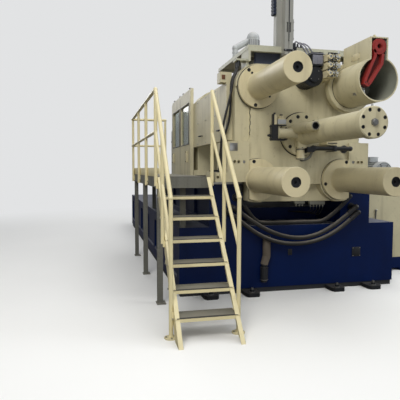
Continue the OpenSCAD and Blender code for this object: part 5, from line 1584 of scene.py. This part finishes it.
@dataclass
class PullerDetails(Details):
    """Lining, bolts and lugs of the tie bar puller and its red locking arm."""

    axis_z: float = 2.415
    arm: Point = (0.529, -4.276, 2.745)

    def lining(self) -> None:
        """Lines the housing in a darker steel colour, partly painted shade, and sets the strip beside the arm's toe."""
        # A darker steel colour for the housing's inside, partly standing in for its shade.
        dark = self.shop.special(
            "housing_inside", Slot.CAST, color=srgb(146, 149, 136), metallic=0.0, roughness=0.6, stains=0.6,
        )
        lining = Shape("housing_shaded_lining")
        turns = [math.radians(a) for a in range(115, 426, 5)]
        arc = [(r * math.cos(a), r * math.sin(a)) for r, way in ((0.2179, 1), (0.2145, -1)) for a in turns[::way]]
        lining.prism([(AT.tie + a, self.axis_z + b) for a, b in arc], AT.mouth + 0.005, AT.mouth + 0.5, "Y")
        # Painted shade: a dark sheet under the housing's top wall.
        lining.box(
            (AT.tie - 0.0865, AT.mouth + 0.004, self.axis_z + 0.4105),
            (AT.tie + 0.0865, AT.mouth + 0.4, self.axis_z + 0.4128),
        )
        for side in (-1, 1):
            near, far = AT.tie + side * 0.0865, AT.tie + side * 0.0889
            lining.box((near, AT.mouth + 0.004, self.axis_z + 0.2), (far, AT.mouth + 0.4, self.axis_z + 0.4105))
        lining.done(self.shop, Slot.CAST, dark)
        strip = Shape("stop_strip").box((0.395, self.arm[1] + 0.08, 2.245), (0.462, self.arm[1] + 0.092, 2.325), 0.002)
        strip.box((0.330, self.arm[1] + 0.06, 2.262), (0.400, self.arm[1] + 0.10, 2.290), 0.002)
        strip.done(self.shop, Slot.GROUND)

    def arm_parts(self) -> None:
        """Shapes the red arm with its two ribs, eye and toe, in place of its plain solid, with its web and sides in a
        darker red that paints their shade.
        """
        x, z = AT.tie + 0.005, self.arm[2] + 0.003
        front, back, web = AT.mouth + 0.006, AT.mouth + 0.1, AT.mouth + 0.05
        lean = math.radians(21)

        def at(down: float, across: float) -> tuple[float, float]:
            """Places a point of the arm by its distance down from the eye and across."""
            return (
                x - down * math.sin(lean) + across * math.cos(lean), z - down * math.cos(lean) - across * math.sin(lean)
            )

        left = [(0.0, -0.080), (0.05, -0.052), (0.106, -0.019), (0.23, -0.026), (0.36, -0.030), (0.424, -0.022)]
        right = [
            (0.428, 0.040), (0.389, 0.059), (0.266, 0.086), (0.150, 0.112), (0.10, 0.098), (0.05, 0.086), (0.0, 0.080),
        ]
        arm = Shape("red_arm")
        # Painted shade: the web and sides between the ribs get a darker red.
        shaded_red = self.shop.special("red_in_shade", Slot.RED, color=srgb(92, 26, 23), coat=0.0)
        shaded_core = Shape("red_arm_shaded_core").prism([at(max(d, 0.026), a) for d, a in left + right], web, back, "Y")
        shaded_core.done(self.shop, Slot.RED, shaded_red)
        arm.prism(
            [at(*p) for p in left[1:]] + [at(d, a + 0.03) for d, a in reversed(left[1:])], front, web + 0.002, "Y",
        )
        arm.prism(
            [at(*p) for p in right[:-1]] + [at(d, a - 0.032) for d, a in reversed(right[:-1])], front, web + 0.002, "Y",
        )
        arm.prism(
            [at(0.395, -0.026), at(0.395, 0.056), at(0.428, 0.040), at(0.424, -0.022)], front + 0.004, web + 0.002, "Y",
        )
        arm.ring((x, front, z), REARWARD, 0.025, 0.081, back - front, 48)
        arm.ring((x, front + 0.001, z), FORWARD, 0.036, 0.058, 0.004, 40)
        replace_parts(arm.done(self.shop, Slot.RED), "locking_arm")
        toes = [at(0.40, across) for across in (-0.008, 0.032)]
        self.fasteners.heads("toe_screws", [((a, front + 0.004, b), FORWARD) for a, b in toes], 0.009, 0.005, 12)

    def flange_bolts(self) -> None:
        """Bolts the housing's foot ring and sets lifting lugs and a cover strip on the channel."""
        lugs = Shape("channel_lugs")
        for y in (-4.25, -3.92):
            lugs.ring((AT.tie - 0.012, y, 2.862), RIGHT, 0.011, 0.023, 0.012, 24)
            lugs.box((AT.tie - 0.018, y - 0.022, 2.84), (AT.tie + 0.006, y + 0.022, 2.846), 0.001)
        lugs.done(self.shop, Slot.CREAM)
        plate = Shape("channel_plate").box((0.4205, -4.146, 2.655), (0.4241, -3.989, 2.728), 0.001)
        plate.done(self.shop, Slot.PALE_CREAM)
        seats = [((0.4205, y, z), LEFT) for y in (-4.135, -4.0) for z in (2.663, 2.72)]
        self.fasteners.heads("channel_plate_screws", seats, 0.004, 0.003, 12)
        back = on_circle(AT.tie, AT.face - 0.12, self.axis_z, 0.235, 10, 0, REARWARD)
        self.fasteners.hexagons("puller_bolts", back, 0.016, 0.018)

    def build(self) -> None:
        """Builds all of them."""
        self.lining()
        self.arm_parts()
        self.flange_bolts()


@dataclass
class RoofDetails(Details):
    """Chain, slots and fittings of the mast, screws of the roof and bands of the blower."""

    def _chain_tree(self) -> GeometryTree:
        """Builds the tree that sets a two-part link on each looking point.

        Returns:
            The tree.
        """
        build = GeometryTree("chain_links", {
            "Link": ("NodeSocketVector", (0.033, 0.08, 0.027)), "Core": ("NodeSocketVector", (0.022, 0.062, 0.042)),
            "Material": ("NodeSocketMaterial", None),
        })
        both = build.add("GeometryNodeJoinGeometry")
        for key in ("Link", "Core"):
            block = build.add("GeometryNodeMeshCube")
            build.link(build.given.outputs[key], block.inputs["Size"])
            build.link(block.outputs["Mesh"], both.inputs[0])
        build.scatter(both.outputs[0])
        return build

    def chain(self) -> None:
        """Hangs the cable chain in links, in place of its plain solid."""
        y = AT.roof_y + 0.04
        line = [Vector((-0.3525, y, 3.23 + 0.0365 * k)) for k in range(12)]
        line += [
            Vector((-0.29 - 0.0625 * math.cos(a), y, 3.64 + 0.0625 * math.sin(a)))
            for a in [math.pi * k / 6 for k in range(1, 6)]
        ]
        line += [Vector((-0.2275, y, 3.634 - 0.0365 * k)) for k in range(2)]
        places = []
        for k, point in enumerate(line):
            ahead = line[min(k + 1, len(line) - 1)] - line[max(k - 1, 0)]
            places.append((point, ahead if ahead.z >= 0 else -ahead))
        piece = self._chain_tree().run(
            points_mesh("mast_chain_points", places), "mast_chain_links", {"Material": self.shop.materials[Slot.CHAIN]},
        )
        settle(piece, self.shop, Slot.CHAIN)
        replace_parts(piece, "mast_chain")

    def mast(self) -> None:
        """Sets the mast's dark slots, the fittings at its foot, its bolts and its cap."""
        dark = Shape("mast_slots")
        for z in (AT.roof + 0.15, AT.roof + 0.55):
            for x in (-0.250, -0.214):
                dark.box((x, AT.roof_y - 0.086, z), (x + 0.014, AT.roof_y - 0.084, z + 0.11))
        dark.box((-0.2285, AT.roof_y - 0.0985, 2.9), (-0.2195, AT.roof_y - 0.0955, 3.6))
        dark.done(self.shop, Slot.BLACK)
        feet = Shape("mast_fittings")
        feet.box((-0.172, AT.roof_y - 0.08, 2.80), (-0.12, AT.roof_y - 0.001, 2.85), 0.004)
        feet.box((-0.176, AT.roof_y - 0.096, 2.82), (-0.138, AT.roof_y - 0.04, 2.885), 0.004)
        feet.bar((-0.135, AT.roof_y - 0.05, 2.85), (-0.135, AT.roof_y - 0.05, 2.888), 0.013, sides=HEXAGON)
        feet.box((-0.284, AT.roof_y - 0.1, 2.79), (-0.164, AT.roof_y - 0.094, 2.815), 0.003)
        feet.done(self.shop, Slot.BLACK)
        bolts = [((-0.276 + dx, AT.roof_y - 0.1, 2.803), FORWARD) for dx in (0.012, 0.102)]
        bolts += [((-0.16, AT.roof_y - y, z), RIGHT) for y in (0.02, 0.06) for z in (2.94, 3.03, 3.12)]
        self.fasteners.hexagons("mast_bolts", bolts, 0.009, 0.008, Slot.GROUND)
        caps = Shape("mast_caps").box((-0.275, AT.roof_y - 0.099, 3.796), (-0.173, AT.roof_y + 0.001, 3.806), 0.003)
        caps.done(self.shop, Slot.BLACK)

    def roof(self) -> None:
        """Screws the roof down and sets a darker sheet under it that paints the underside's shade, two lamp housings,
        the slate panel and the guard's stop.
        """
        edge = AT.roof_top
        seats = [((side * 0.64, AT.roof_y + 0.04 + k * 0.19, edge), UP) for side in (-1, 1) for k in range(7)]
        seats += [((-0.6 + k * 0.2, AT.roof_y + y, edge), UP) for k in range(7) for y in (0.025, 1.235)]
        self.fasteners.hexagons("roof_screws", seats, 0.008, 0.005, Slot.GROUND)
        seats = [((-0.51 + k * 0.088, AT.face + 0.09, z), FORWARD) for k in range(4) for z in (2.69, 2.78)]
        self.fasteners.heads("panel_screws", seats, 0.005, 0.003, 12)
        lamps = Shape("roof_lamps")
        for x in (-0.35, 0.35):
            lamps.box(
                (x - 0.05, AT.roof_y + 0.45, AT.roof - 0.045), (x + 0.05, AT.roof_y + 1.1, AT.roof - 0.001), 0.006,
            )
        lamps.done(self.shop, Slot.BLOWER)
        rust = self.shop.special(
            "rusty_steel", Slot.BLACK, color=srgb(112, 72, 44), stains=0.5, mottle=0.5, roughness=0.7,
        )
        # Painted shade: a darker brown sheet under the roof stands in for the underside's shade, with stains.
        shade = self.shop.special("roof_underside_shade", Slot.ROOF, color=srgb(92, 84, 72), stains=0.5)
        under = Shape("roof_shade_sheet").box(
            (-0.625, AT.roof_y + 0.035, AT.roof - 0.003), (0.625, AT.roof_y + 1.22, AT.roof - 0.001),
        )
        under.done(self.shop, Slot.ROOF, shade)
        slate = self.shop.special("slate_panel", Slot.NAVY, color=srgb(96, 104, 124), dust=srgb(120, 122, 126))
        panel = Shape("panel_sheet").box(
            (-0.524, AT.face + 0.088, AT.top + 0.003), (-0.228, AT.face + 0.0904, AT.roof - 0.004),
        )
        panel.done(self.shop, Slot.NAVY, slate)
        bit = Shape("guard_stop").box((-0.905, AT.face + 0.150, 2.515), (-0.865, AT.face + 0.158, 2.565), 0.002)
        bit.done(self.shop, Slot.BLACK, rust)

    def blower(self) -> None:
        """Sets bands, louvres and feet bolts on the blower."""
        x, y, low = -0.305, AT.roof_y + 0.86, AT.roof_top
        bands = Shape("blower_bands")
        for z in (0.05, 0.19, 0.315):
            bands.ring((x, y, low + z), UP, 0.082, 0.0855, 0.012, 48)
        bands.ring((x - 0.24, y, low + 0.02), UP, 0.0355, 0.05, 0.008, 36)
        bands.ring((x - 0.24, y, low + 0.12), UP, 0.0355, 0.041, 0.012, 36)
        bands.done(self.shop, Slot.BLOWER)
        slots = Shape("blower_louvres")
        for k in range(20):
            a = math.tau * k / 20
            p = Vector((x + 0.0828 * math.cos(a), y + 0.0828 * math.sin(a), 0))
            slots.bar((p.x, p.y, low + 0.215), (p.x, p.y, low + 0.295), 0.0045, sides=8)
        slots.done(self.shop, Slot.BLACK)
        seats = [((x + dx, y + dy, low + 0.02), UP) for dx in (-0.095, 0.095) for dy in (-0.095, 0.095)]
        self.fasteners.hexagons("blower_bolts", seats, 0.009, 0.008, Slot.GROUND)

    def build(self) -> None:
        """Builds all of them."""
        self.chain()
        self.mast()
        self.roof()
        self.blower()


@dataclass
class BaseDetails(Details):
    """Anchor nuts, covers and fittings of the base and bed, and the drain's sleeve."""

    def anchors(self) -> None:
        """Sets studs, washers and nuts in the levelling pads."""
        places = [(x * side, 3.57 * end) for x in (0.55, 1.05) for side in (-1, 1) for end in (-1, 1)]
        studs = Shape("anchor_studs")
        for x, y in places:
            studs.ring((x, y, 0.045), UP, 0.0155, 0.034, 0.006, 28)
            studs.bar((x, y, 0.002), (x, y, 0.098), 0.0145)
        studs.done(self.shop, Slot.GROUND)
        self.fasteners.heads("anchor_nuts", [((x, y, 0.051), UP) for x, y in places], 0.029, 0.026, HEXAGON)

    def covers(self) -> None:
        """Sets the small covers on the base's front and the fittings under the plate."""
        covers = Shape("base_covers")
        covers.box((-0.053, AT.front - 0.006, 0.439), (0.001, AT.front, 0.515), 0.003)
        covers.box((0.815, AT.front - 0.006, 0.388), (0.932, AT.front, 0.508), 0.004)
        covers.bar((-0.668, AT.front - 0.012, 1.25), (-0.642, AT.front - 0.012, 1.25), 0.014, sides=HEXAGON)
        covers.box((-0.690, AT.front - 0.018, 1.216), (-0.642, AT.front, 1.306), 0.004)
        covers.done(self.shop, Slot.BLACK)
        pad = Shape("wedge_pads")
        for side in (-1, 1):
            pad.box((side * 0.642, AT.front - 0.014, 1.03), (side * 0.690, AT.front, 1.205), 0.004)
        pad.done(self.shop, Slot.NAVY)
        seats = [((side * 0.666, AT.front - 0.014, z), FORWARD) for side in (-1, 1) for z in (1.06, 1.12, 1.175)]
        seats += [((x, AT.front - 0.006, z), FORWARD) for x in (0.826, 0.921) for z in (0.399, 0.497)]
        self.fasteners.heads("cover_screws", seats, 0.007, 0.005, 12, slot=Slot.GROUND)
        block = Shape("grease_block")
        block.box((0.168, AT.face + 0.05, 1.062), (0.367, AT.face + 0.10, 1.104), 0.003)
        block.box((-0.025, AT.face + 0.05, 1.075), (0.105, AT.face + 0.09, 1.104), 0.003)
        for k in range(5):
            block.bar(
                (0.188 + k * 0.04, AT.face + 0.075, 1.062), (0.188 + k * 0.04, AT.face + 0.075, 1.038), 0.009,
                sides=HEXAGON,
            )
        for k in range(3):
            block.bar((k * 0.04, AT.face + 0.07, 1.075), (k * 0.04, AT.face + 0.07, 1.048), 0.01, sides=HEXAGON)
        block.done(self.shop, Slot.CAST)
        lines = Shape("grease_lines")
        for k in range(5):
            x = 0.188 + k * 0.04
            route = [
                (x, AT.face + 0.075, 1.04), (x, AT.face + 0.078, 1.01), (x + 0.01, AT.face + 0.12, 0.985),
                (x + 0.03, AT.face + 0.25, 0.96 - 0.01 * k), (x + 0.03, AT.face + 0.5, 0.93),
                (x + 0.02, AT.front + 0.598, 0.92),
            ]
            lines.tube(smooth_line(route, 4), 0.005, 8)
        lines.done(self.shop, Slot.SIDE_HOSE, angle=60)

    def sleeve(self) -> None:
        """Slips the dusty sleeve, a cuff and rings over the drain pipe."""
        dusty = self.shop.special("dusty_sleeve", Slot.HOSE, color=srgb(112, 102, 90), mottle=0.45, stains=0.5)
        x, y = -0.35, AT.front - 0.05
        sleeve = Shape("drain_sleeve")
        sleeve.turned(
            (x, y, 0.44), UP, [(0.0435, 0.0), (0.047, 0.006), (0.0475, 0.12), (0.046, 0.24), (0.0435, 0.25)], 36,
        )
        sleeve.bar((x - 0.028, y, 0.352), (x, y, 0.452), 0.0445, 0.0475, 32)
        sleeve.done(self.shop, Slot.HOSE, dusty, 60)
        Shape("drain_cuff").bar(
            (x - 0.028, y, 0.172), (x - 0.028, y, 0.318), 0.046, 0.048, 40,
        ).done(self.shop, Slot.BLACK)
        ring = Shape("drain_rings").ring((x - 0.028, y, 0.165), UP, 0.034, 0.049, 0.008, 40)
        ring.ring((x, y, 0.672), UP, 0.043, 0.0495, 0.012, 32)
        ring.done(self.shop, Slot.GROUND)

    def ferrules(self) -> None:
        """Crimps ferrules on the ends of the hoses."""
        routes = Hoses(self.shop)
        caps = Shape("hose_ferrules")
        for points, radius in ((routes.upper(), 0.0295), (routes.lower(), 0.0295), (routes.shelf(), 0.0295),
                               (routes.side(0.030, False), 0.0165), (routes.side(0.095, True), 0.0165)):
            for start, after in ((points[0], points[1]), (points[-1], points[-2])):
                a, way = Vector(start), (Vector(after) - Vector(start)).normalized()
                caps.bar(a, a + way * radius * 2.2, radius, sides=28)
                caps.bar(a + way * radius * 2.2, a + way * radius * 2.5, radius, radius * 0.88, 28)
        caps.done(self.shop, Slot.BLACK)

    def build(self) -> None:
        """Builds all of them."""
        self.anchors()
        self.covers()
        self.sleeve()
        self.ferrules()


@dataclass
class GuardDetails(Details):
    """Windows, handles, seams and rollers of the guards."""

    outer: float = 0.853
    door: float = 0.855
    window_rows: tuple[float, float] = (-1.241, -0.451)

    def side_covers(self) -> None:
        """Screws the box covers beside the toggle and sets their grips."""
        seats = []
        grips = Shape("cover_grips")
        for side in (-1, 1):
            x = side * self.outer
            for seam in (-3.455, -2.982, -2.487, -1.991, -1.518):
                seats += [((x, seam + dy, z), (side, 0, 0)) for dy in (-0.02, 0.02) for z in (1.85, 2.15, 2.45)]
            for y in (-3.22, -2.23):
                grip = [(x, y - 0.06, 1.95), (x + side * 0.035, y - 0.055, 1.95), (x + side * 0.04, y, 1.95),
                        (x + side * 0.035, y + 0.055, 1.95), (x, y + 0.06, 1.95)]
                grips.tube(smooth_line(grip, 5), 0.007, 10)
            seats += [((side * 0.89, y, 2.60), UP) for y in (-3.43, -3.345)]
        self.fasteners.heads("cover_edge_screws", seats, 0.0065, 0.005, 12, slot=Slot.GROUND)
        grips.done(self.shop, Slot.BLACK, angle=60)

    def windows(self) -> None:
        """Glazes the sliding doors and frames their windows in black rubber."""
        panes = Shape("window_panes")
        frames = Shape("window_frames")
        for side in (-1, 1):
            low, high = side * (self.door + 0.022), side * (self.door + 0.028)
            a, b = side * (self.door + 0.050), side * (self.door + 0.056)
            for y in self.window_rows:
                panes.box((low, y - 0.334, 1.881), (high, y + 0.334, 2.499))
                for edge in (-0.345, 0.333):
                    frames.box((a, y + edge, 1.868), (b, y + edge + 0.012, 2.512), 0.002)
                for z in (1.868, 2.500):
                    frames.box((a, y - 0.345, z), (b, y + 0.345, z + 0.012), 0.002)
            a, b = side * (self.door + 0.0495), side * (self.door + 0.0515)
            frames.box((a, -0.849, 1.345), (b, -0.843, 2.67))
        panes.done(self.shop, Slot.RAIL, self.shop.glass)
        frames.done(self.shop, Slot.BLACK)

    def rollers(self) -> None:
        """Hangs the doors on rollers and bolts their handles."""
        wheels = Shape("door_rollers")
        seats = []
        for side in (-1, 1):
            for y in (-1.55, -1.0, -0.69, -0.14):
                wheels.turned(
                    (side * 0.862, y, 2.733), (side, 0, 0),
                    [(0.018, 0.0), (0.022, 0.003), (0.022, 0.022), (0.018, 0.025)], 28,
                )
                seats.append(((side * 0.887, y, 2.733), (side, 0, 0)))
            for y in (-1.481, -0.241):
                seats += [((side * 0.935, y, z), (side, 0, 0)) for z in (1.605, 1.755)]
        wheels.done(self.shop, Slot.GROUND)
        self.fasteners.hexagons("door_bolts", seats, 0.009, 0.007)

    def build(self) -> None:
        """Builds all of them."""
        self.side_covers()
        self.windows()
        self.rollers()


@dataclass
class StairDetails(Details):
    """Nosings, tread plates, toe boards and foot bolts of the stair and platform."""

    foot: float = -4.966
    going: float = 0.18008
    rise: float = 0.2
    deck: Point = (-3.7054, -0.7054, 1.40)

    def treads(self) -> None:
        """Covers the treads and the deck with tread plate and dark nosings."""
        plates = Shape("tread_plates")
        nosing = Shape("tread_nosings")
        for k in range(1, 7):
            y = self.foot + k * self.going - 0.01
            z = k * self.rise
            nosing.box((-1.665, y + 0.001, z - 0.001), (-1.115, y + 0.03, z + 0.004), 0.001)
            plates.box((-1.665, y + 0.034, z - 0.001), (-1.115, y + 0.207, z + 0.003))
        start, end, top = self.deck
        plates.box((-1.673, start + 0.035, top - 0.001), (-1.105, end - 0.008, top + 0.004))
        nosing.box((-1.673, start + 0.001, top - 0.001), (-1.105, start + 0.032, top + 0.005), 0.001)
        plates.done(self.shop, Slot.DECK)
        nosing.done(self.shop, Slot.BLACK)
        boards = Shape("toe_boards")
        boards.box((-1.6805, start + 0.04, top), (-1.6745, end, top + 0.10), 0.001)
        boards.box((-1.68, end - 0.006, top), (-1.102, end, top + 0.10), 0.001)
        boards.done(self.shop, Slot.RAIL)

    def bolts(self) -> None:
        """Bolts the posts' feet, the plates on the beams and the treads."""
        seats = []
        for x in (-1.08, -1.70):
            seats += [
                ((x + 0.043 * dx, -4.687 + 0.043 * dy, 0.010), UP) for dx, dy in ((-1, 0), (0, -1), (0, 1), (1, 0))
            ]
        for k in range(1, 7):
            y = self.foot + k * self.going
            seats += [
                ((x, y + dy, k * self.rise - 0.015), (way, 0, 0))
                for x, way in ((-1.688, -1), (-1.100, 1))
                for dy in (0.05, 0.13)
            ]
        seats += [((-1.688, -3.7054 + k * 1.0 - 0.06 + dy, 1.33), LEFT) for k in (1, 2) for dy in (-0.05, 0.05)]
        self.fasteners.hexagons("stair_bolts", seats, 0.009, 0.008, Slot.GROUND)

    def build(self) -> None:
        """Builds all of them."""
        self.treads()
        self.bolts()


@dataclass
class ToggleDetails(Details):
    """Keeper plates, grease nipples and bush flanges of the toggle, and screws of the tie bar nuts."""

    end_pin: float = -3.046
    knee: float = -2.446
    platen_pin: float = -1.846
    links: float = 0.3

    def build(self) -> None:
        """Builds all of them."""
        keepers = Shape("pin_keepers")
        nipples = Shape("grease_nipples")
        seats = []
        for middle in (-self.links, self.links):
            for way in (-1, 1):
                x = middle + way * 0.106
                for y, height in ((self.end_pin, 0.5), (self.knee, 0.475), (self.platen_pin, 0.42)):
                    for up in (-1, 1):
                        z = AT.axis + up * height
                        keepers.box((x, y - 0.045, z - 0.012), (x + way * 0.006, y + 0.045, z + 0.012), 0.001)
                        seats += [((x + way * 0.006, y + dy, z), (way, 0, 0)) for dy in (-0.03, 0.03)]
                        nipples.bar((x, y, z + 0.03), (x + way * 0.016, y, z + 0.03), 0.005, 0.003, 8)
        keepers.done(self.shop, Slot.GROUND)
        nipples.done(self.shop, Slot.CAST)
        self.fasteners.hexagons("keeper_bolts", seats, 0.008, 0.007)
        flanges = Shape("guide_flanges")
        bolts = []
        for up in (-1, 1):
            z = AT.axis + up * 0.18
            flanges.ring((0, self.knee - 0.03, z), FORWARD, 0.0405, 0.064, 0.012, 36)
            flanges.ring((0, self.knee + 0.13, z), REARWARD, 0.0405, 0.064, 0.012, 36)
            bolts += on_circle(0, self.knee - 0.042, z, 0.053, 6, 30, FORWARD)
        flanges.done(self.shop, Slot.CAST)
        self.fasteners.heads("guide_bolts", bolts, 0.0055, 0.006, 12)
        lock = [
            s
            for i in (-1, 1)
            for j in (-1, 1)
            for s in on_circle(i * AT.tie, AT.fixed_back + 0.22, AT.axis + j * AT.tie, 0.127, 6, 30, REARWARD)
        ]
        self.fasteners.heads("nut_screws", lock, 0.011, 0.008, 18)


@dataclass
class ShotDetails(Details):
    """Screws, bottle valves, straps and switch rail of the shot end."""

    flange: float = 1.499
    end: float = 2.984
    bottle_x: float = 0.44
    bottle_rows: tuple[float, float] = (1.714, 2.094)

    def cylinder(self) -> None:
        """Screws the shot cylinder, bolts the plunger's coupling and sets the switch rail."""
        seats = on_circle(0, self.flange, AT.shot_z, 0.19, 12, 15, REARWARD)
        seats += on_circle(0, self.end - 0.026, AT.shot_z, 0.18, 8, 22.5, REARWARD)
        seats += [((x, AT.shot_back, z), REARWARD) for x in (-0.28, 0.28) for z in (1.30, 2.08)]
        self.fasteners.heads("shot_screws", seats, 0.0145, 0.019)
        ring = [
            ((0.072 * math.cos(a), 0.9, AT.shot_z + 0.072 * math.sin(a)), (math.cos(a), 0, math.sin(a)))
            for a in (0.8, 2.37, 3.93, 5.5)
        ]
        self.fasteners.heads("coupling_bolts", ring, 0.01, 0.008)
        rail = Shape("switch_rail")
        rail.box((0.168, 1.52, AT.shot_z - 0.012), (0.176, 2.56, AT.shot_z + 0.012), 0.001)
        for y in (1.56, 2.52):
            rail.box((0.150, y, AT.shot_z - 0.02), (0.17, y + 0.02, AT.shot_z + 0.02), 0.002)
        rail.done(self.shop, Slot.GROUND)
        switches = Shape("rail_switches")
        for y in (1.72, 2.02, 2.31):
            switches.box((0.176, y, AT.shot_z - 0.022), (0.206, y + 0.07, AT.shot_z + 0.022), 0.004)
            switches.bar((0.191, y + 0.07, AT.shot_z), (0.191, y + 0.095, AT.shot_z), 0.008, sides=HEXAGON)
        switches.done(self.shop, Slot.BLACK)

    def bottles(self) -> None:
        """Sets valves on the accumulators, straps round them and pipes from them."""
        valves = Shape("bottle_valves")
        straps = Shape("bottle_straps")
        for side in (-1, 1):
            for y in self.bottle_rows:
                x = side * self.bottle_x
                valves.turned(
                    (x, y, 2.535), UP,
                    [(0.03, 0.0), (0.03, 0.03), (0.018, 0.036), (0.018, 0.075), (0.011, 0.08), (0.011, 0.11)], 24,
                )
                valves.bar((x, y, 2.59), (x - side * 0.07, y, 2.59), 0.014, sides=HEXAGON)
                for z in (1.30, 2.10):
                    straps.ring((x, y, z), UP, 0.1295, 0.1345, 0.04, 48)
            for z in (1.305, 2.105):
                straps.box((side * 0.40, 1.842, z), (side * 0.48, 1.966, z + 0.03), 0.002)
                straps.box((side * 0.30, 1.70, z), (side * 0.32, 2.11, z + 0.03), 0.002)
        valves.done(self.shop, Slot.GROUND)
        straps.done(self.shop, Slot.BLACK)
        pipes = Shape("bottle_pipes")
        for side in (-1, 1):
            route = [
                (side * 0.372, 1.714, 2.59), (side * 0.33, 1.714, 2.585), (side * 0.29, 1.72, 2.50),
                (side * 0.27, 1.75, 2.2), (side * 0.22, 1.78, 1.95), (side * 0.12, 1.8, AT.shot_z + 0.14),
            ]
            pipes.tube(smooth_line(route, 5), 0.014)
        pipes.done(self.shop, Slot.GROUND, angle=60)

    def build(self) -> None:
        """Builds all of them."""
        self.cylinder()
        self.bottles()


@dataclass
class PowerDetails(Details):
    """Grilles, boxes, hoses and covers of the power unit."""

    x: float = 1.78
    z: float = 1.45
    rim: float = 0.13
    starts: tuple[float, float] = (-2.59, -1.49)

    def motors(self) -> None:
        """Sets fan grilles, terminal boxes, pumps' hoses and lifting eyes."""
        grille = Shape("fan_grilles")
        boxes = Shape("pump_motor_boxes")
        hoses = Shape("pump_hoses")
        for y in self.starts:
            for r in (0.04, 0.07, 0.10, self.rim):
                grille.ring((self.x, y - 0.09, self.z), FORWARD, r - 0.003, r, 0.004, 40)
            for a in (0, 60, 120):
                c, s = self.rim * math.cos(math.radians(a)), self.rim * math.sin(math.radians(a))
                grille.bar((self.x - c, y - 0.093, self.z - s), (self.x + c, y - 0.093, self.z + s), 0.003, sides=8)
            boxes.box((self.x - 0.07, y + 0.16, 1.595), (self.x + 0.07, y + 0.34, 1.675), 0.006)
            boxes.box((self.x - 0.075, y + 0.155, 1.66), (self.x + 0.075, y + 0.345, 1.668), 0.002)
            boxes.ring((self.x - 0.006, y + 0.44, 1.622), RIGHT, 0.014, 0.026, 0.012, 24)
            pump = y + 0.52 + 0.29
            route = [
                (self.x + 0.07, pump, self.z), (self.x + 0.13, pump, self.z), (self.x + 0.19, pump, 1.40),
                (self.x + 0.21, pump, 1.32), (self.x + 0.21, pump, 1.24),
            ]
            hoses.tube(smooth_line(route, 5), 0.024, 16)
            route = [
                (self.x - 0.07, pump, self.z), (self.x - 0.12, pump, self.z), (self.x - 0.17, pump + 0.01, 1.41),
                (self.x - 0.20, pump + 0.02, 1.33), (self.x - 0.20, pump + 0.02, 1.24),
            ]
            hoses.tube(smooth_line(route, 5), 0.016, 14)
        grille.done(self.shop, Slot.BLACK)
        boxes.done(self.shop, Slot.BLOWER)
        hoses.done(self.shop, Slot.HOSE, angle=60)

    def tank(self) -> None:
        """Bolts the cleaning covers and sets the level gauge, breather and filter."""
        seats = []
        for y in (-2.475, -0.825):
            seats += [
                ((2.178, y + 0.16 * math.cos(a), 0.72 + 0.16 * math.sin(a)), RIGHT)
                for a in [math.tau * k / 12 for k in range(12)]
            ]
        self.fasteners.hexagons("tank_bolts", seats, 0.009, 0.008, Slot.GROUND)
        gauge = Shape("level_gauge")
        for z in (0.62, 0.88):
            gauge.box((1.60, -2.768, z), (1.63, -2.75, z + 0.03), 0.003)
        gauge.bar((1.615, -2.762, 0.65), (1.615, -2.762, 0.88), 0.006)
        gauge.box((1.604, -2.753, 0.65), (1.626, -2.75, 0.88))
        gauge.done(self.shop, Slot.GROUND)
        top = Shape("tank_fittings")
        top.turned(
            (1.52, -0.78, 1.24), UP,
            [(0.045, 0.0), (0.045, 0.012), (0.03, 0.016), (0.03, 0.05), (0.055, 0.056), (0.055, 0.10), (0.04, 0.112)],
            32,
        )
        top.turned(
            (1.99, -0.78, 1.24), UP,
            [(0.075, 0.0), (0.075, 0.02), (0.06, 0.026), (0.06, 0.20), (0.066, 0.206), (0.066, 0.23), (0.03, 0.245)],
            32,
        )
        top.done(self.shop, Slot.BLACK)

    def build(self) -> None:
        """Builds all of them."""
        self.motors()
        self.tank()


def main() -> None:
    logging.basicConfig(level=logging.INFO, format="%(name)s: %(message)s")
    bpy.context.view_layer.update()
    studio = Studio()
    studio.camera()
    shop = Paintshop(FINISHES)
    Hoses(shop).build()
    shop.dress_frame()
    fasteners = Fasteners(shop)
    for group in (PlateDetails, CylinderDetails, MotorDetails, PullerDetails, RoofDetails, BaseDetails, GuardDetails,
                  StairDetails, ToggleDetails, ShotDetails, PowerDetails):
        group(shop, fasteners).build()
    studio.lights()
    studio.ground()


if __name__ == "__main__":
    main()
